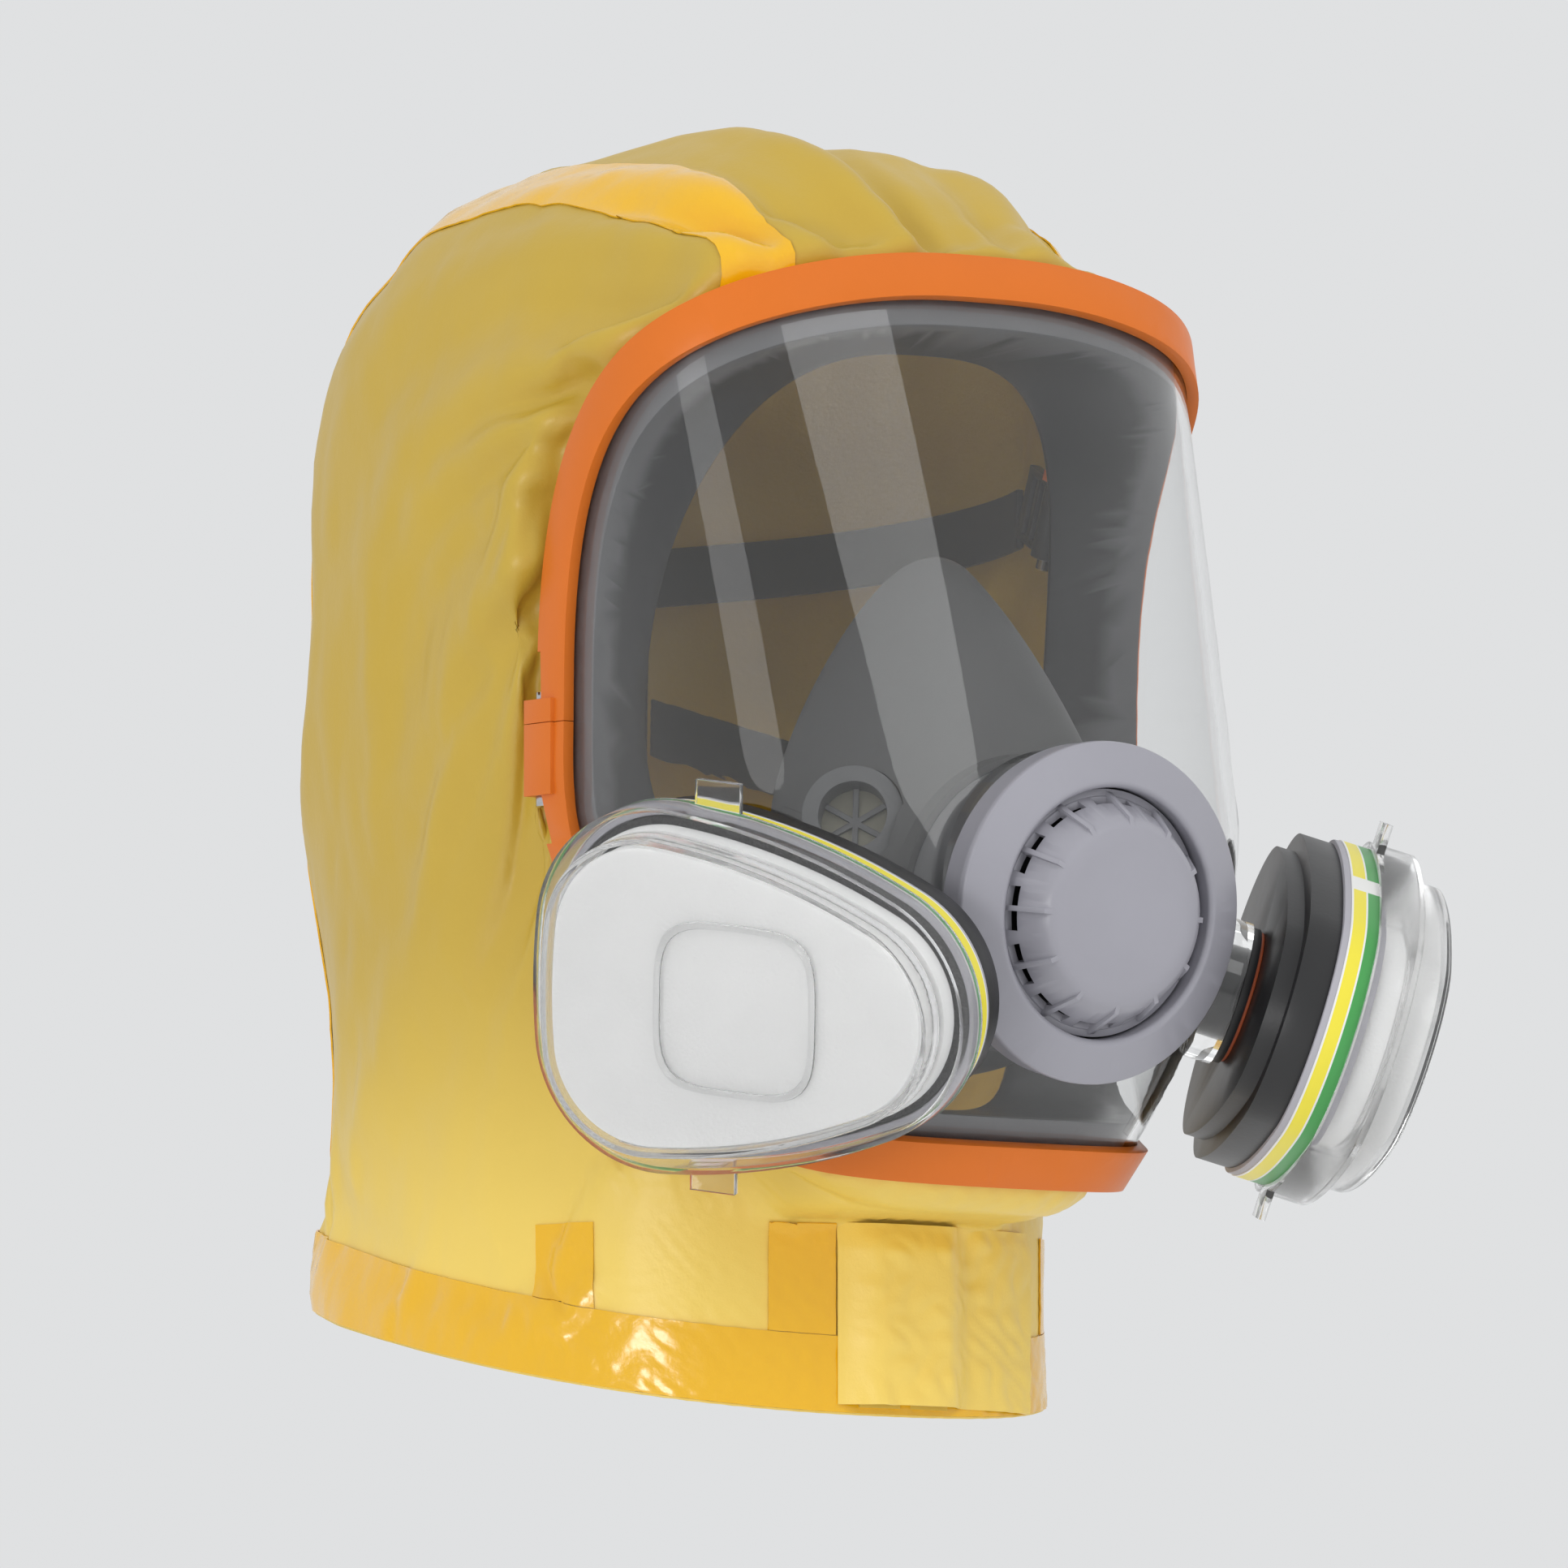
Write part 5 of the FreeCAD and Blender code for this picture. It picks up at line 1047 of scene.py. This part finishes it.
def ridge_cap(bm, place):
    """Adds a low rounded-square ridge on the clear cap's flat face."""
    back = place.inverted()
    top = max((back @ vert.co).z for vert in bm.verts)
    before = set(bm.verts)
    ridge = ((0.0200, -0.0006), (0.0203, 0.0006), (0.0209, 0.0009), (0.0215, 0.0006), (0.0218, -0.0006))
    spun(bm, [(radius, top + rise) for radius, rise in ridge], place, 64)
    for vert in set(bm.verts) - before:
        local = back @ vert.co
        turn = math.atan2(local.y, local.x)
        swell = (abs(math.cos(turn)) ** 4 + abs(math.sin(turn)) ** 4) ** -0.25
        vert.co = place @ Vector((local.x * swell, local.y * swell, local.z))
    bmesh.ops.recalc_face_normals(bm, faces=[f for f in bm.faces if not before.intersection(f.verts)])


class SMOKE_OT_filters(bpy.types.Operator):
    """Makes the two cartridges with their ports, stripes, pads and clear retainers"""
    bl_idname = "smoke.filters"
    bl_label = "Filter Cartridges"

    def execute(self, context):
        f = settings("smoke_filter")
        black = bumpy(shader("filter_black", f.base_colour, 0.38), 800.0, 0.15, 0.0002)
        can = bumpy(shader("can_satin", f.can_colour, 0.7), 900.0, 0.1, 0.0001)
        charcoal = bumpy(shader("charcoal_grains", (0.012, 0.012, 0.012), 0.6), 700.0, 1.0, 0.0015)
        pad = bumpy(shader("pad_felt", f.pad_colour, 0.9), 900.0, 0.4, 0.0004)
        clear = shader("cap_plastic", (1.0, 1.0, 1.0), 0.1, IOR=1.3, Transmission_Weight=0.97)
        for side in ("right", "left"):
            finished_copy(f"{side}_filter_port", f"{side}_bayonet_port", black, 0.0003)
            finished_copy(f"{side}_intake_flap", f"{side}_intake_disc", flap_rubber(), 0.0001)
            finished_copy(f"{side}_filter_base", f"{side}_cartridge_base", black, 0.0007)
            finished_copy(f"{side}_filter_can", f"{side}_cartridge_can", can, 0.0004)
            finished_copy(f"{side}_charcoal_bed", f"{side}_charcoal", charcoal, 0)
            finished_copy(f"{side}_particle_pad", f"{side}_felt_pad", pad, 0.0012, detail=draw_in)
            place = filter_matrix(-1 if side == "right" else 1)
            finished_copy(f"{side}_retainer", f"{side}_clear_retainer", clear, 0.0006,
                          detail=lambda bm: ridge_cap(bm, place))
            band = finished_copy(f"{side}_filter_label", f"{side}_colour_band", label_material(), 0)
            back = place.inverted()
            paint(band, "band", lambda p: ((back @ p).z - f.band_low) / (f.band_high - f.band_low))
            paint(band, "round", lambda p: math.atan2((back @ p).y, (back @ p).x) / LOOP + 0.5)
        finished_copy("filter_port_nuts", "bayonet_nuts", black, 0.0004)
        finished_copy("filter_port_gaskets", "bayonet_gaskets", gasket_rubber(), 0.0002)
        return {"FINISHED"}


class SMOKE_OT_harness(bpy.types.Operator):
    """Makes the rubber head harness with its straps and buckles"""
    bl_idname = "smoke.harness"
    bl_label = "Head Harness"

    def execute(self, context):
        rubber = bumpy(shader("strap_rubber", (0.025, 0.025, 0.026), 0.6), 900.0, 0.2, 0.00006)
        plastic = shader("buckle_black", (0.03, 0.03, 0.03), 0.4)
        finished_copy("harness_pad", "harness_back_pad", rubber, 0.0008)
        for level in ("upper", "lower"):
            for side in ("right", "left"):
                finished_copy(f"strap_{level}_{side}", f"strap_{level}_{side}_band", rubber, 0.0004)
                finished_copy(f"buckle_{level}_{side}", f"buckle_{level}_{side}_plate", plastic, 0.0004)
        finished_copy("buckle_pins", "buckle_pivots", bright_metal(), 0.0003)
        return {"FINISHED"}


class SMOKE_OT_wear(bpy.types.Operator):
    """Gives every moulded, rubber and metal surface its soft drift of colour and gloss"""
    bl_idname = "smoke.wear"
    bl_label = "Surface Wear"

    def execute(self, context):
        left_alone = ("coated_fabric", "seam_tape_film", "label_band")
        for material in bpy.data.materials:
            bsdf = material.node_tree and material.node_tree.nodes.get("Principled BSDF")
            if not bsdf or material.name in left_alone:
                continue
            clear = bsdf.inputs["Transmission Weight"].default_value > 0
            if not clear and not bsdf.inputs["Roughness"].is_linked:
                vary(material)
        return {"FINISHED"}


# ------------------------------------------------------------------ studio

def aim(location, target):
    """The turn that points a light or a camera at a target."""
    back = (Vector(location) - Vector(target)).normalized()
    return back.to_track_quat("Z", "Y").to_euler()


def soft_light(name, location, target, width, power, mirrored=False):
    """A round area light, seen in glossy surfaces only if mirrored."""
    data = bpy.data.lights.new(name, "AREA")
    data.shape, data.size, data.energy = "DISK", width, power
    lamp = bpy.data.objects.new(name, data)
    lamp.location, lamp.rotation_euler = location, aim(location, target)
    lamp.visible_glossy = mirrored
    bpy.context.scene.collection.objects.link(lamp)


class SMOKE_OT_studio(bpy.types.Operator):
    """Lays the pale floor, and sets the soft lights and the camera"""
    bl_idname = "smoke.studio"
    bl_label = "Studio"

    def execute(self, context):
        st = settings("smoke_studio")
        bm = bmesh.new()
        bmesh.ops.create_circle(bm, cap_ends=True, segments=96, radius=14,
                                matrix=Matrix.Translation((0, 0, st.floor_height)))
        floor = add_object("studio_floor", bm, shader("studio_floor", (0.86, 0.86, 0.86), 0.7), None)
        target = Vector((0.0, -0.045, 0.162))
        world = bpy.data.worlds.new("studio")
        context.scene.world = world
        world.use_nodes = True
        background = world.node_tree.nodes["Background"]
        background.inputs["Color"].default_value = (0.93, 0.94, 0.95, 1)
        background.inputs["Strength"].default_value = 0.80
        soft_light("key_light", (0.6, -2.9, 2.3), target, 2.2, 32)
        soft_light("side_light", (-3.0, -0.9, 1.3), target, 1.3, 9)
        soft_light("low_light", (-2.6, -1.9, -0.05), target, 0.7, 17, mirrored=True)
        soft_light("rim_light", (1.6, 2.4, 1.8), target, 1.6, 14)
        azimuth, elevation = math.radians(st.azimuth), math.radians(st.elevation)
        level = Vector((math.sin(azimuth), -math.cos(azimuth), 0)) * math.cos(elevation)
        back = level + UP * math.sin(elevation)
        data = bpy.data.cameras.new("camera")
        data.lens, data.sensor_width = 455, 36
        data.clip_start, data.clip_end = 0.1, 60
        camera = bpy.data.objects.new("camera", data)
        camera.location = target + back * st.distance
        camera.rotation_euler = aim(camera.location, target)
        context.scene.collection.objects.link(camera)
        context.scene.camera = camera
        context.scene.view_settings.view_transform = "Standard"
        return {"FINISHED"}


# ------------------------------------------------------------------ panel and registration

STEPS = (SMOKE_OT_hood, SMOKE_OT_tapes, SMOKE_OT_closure, SMOKE_OT_clamp, SMOKE_OT_lens, SMOKE_OT_seal,
         SMOKE_OT_valve, SMOKE_OT_filters, SMOKE_OT_harness, SMOKE_OT_wear, SMOKE_OT_studio)
GROUPS = {"smoke_hood": HoodSettings, "smoke_mask": MaskSettings, "smoke_filter": FilterSettings,
          "smoke_studio": StudioSettings}


class SMOKE_PT_sidebar(bpy.types.Panel):
    """Lists the smoke hood's settings and steps"""
    bl_idname = "SMOKE_PT_sidebar"
    bl_label = "Smoke Hood"
    bl_space_type = "VIEW_3D"
    bl_region_type = "UI"
    bl_category = "Smoke Hood"

    def draw(self, context):
        for step in STEPS:
            self.layout.operator(step.bl_idname)
        for name, group in GROUPS.items():
            box = self.layout.box()
            for field in group.__annotations__:
                box.prop(getattr(context.scene, name), field)


def register():
    for group in GROUPS.values():
        bpy.utils.register_class(group)
    for step in STEPS:
        bpy.utils.register_class(step)
    bpy.utils.register_class(SMOKE_PT_sidebar)
    for name, group in GROUPS.items():
        setattr(bpy.types.Scene, name, bpy.props.PointerProperty(type=group))


def unregister():
    for name in GROUPS:
        delattr(bpy.types.Scene, name)
    bpy.utils.unregister_class(SMOKE_PT_sidebar)
    for cls in reversed((*GROUPS.values(), *STEPS)):
        bpy.utils.unregister_class(cls)


def main():
    register()
    bpy.ops.smoke.hood()
    bpy.ops.smoke.tapes()
    bpy.ops.smoke.closure()
    bpy.ops.smoke.clamp()
    bpy.ops.smoke.lens()
    bpy.ops.smoke.seal()
    bpy.ops.smoke.valve()
    bpy.ops.smoke.filters()
    bpy.ops.smoke.harness()
    bpy.ops.smoke.wear()
    bpy.ops.smoke.studio()


if __name__ == "__main__":
    main()
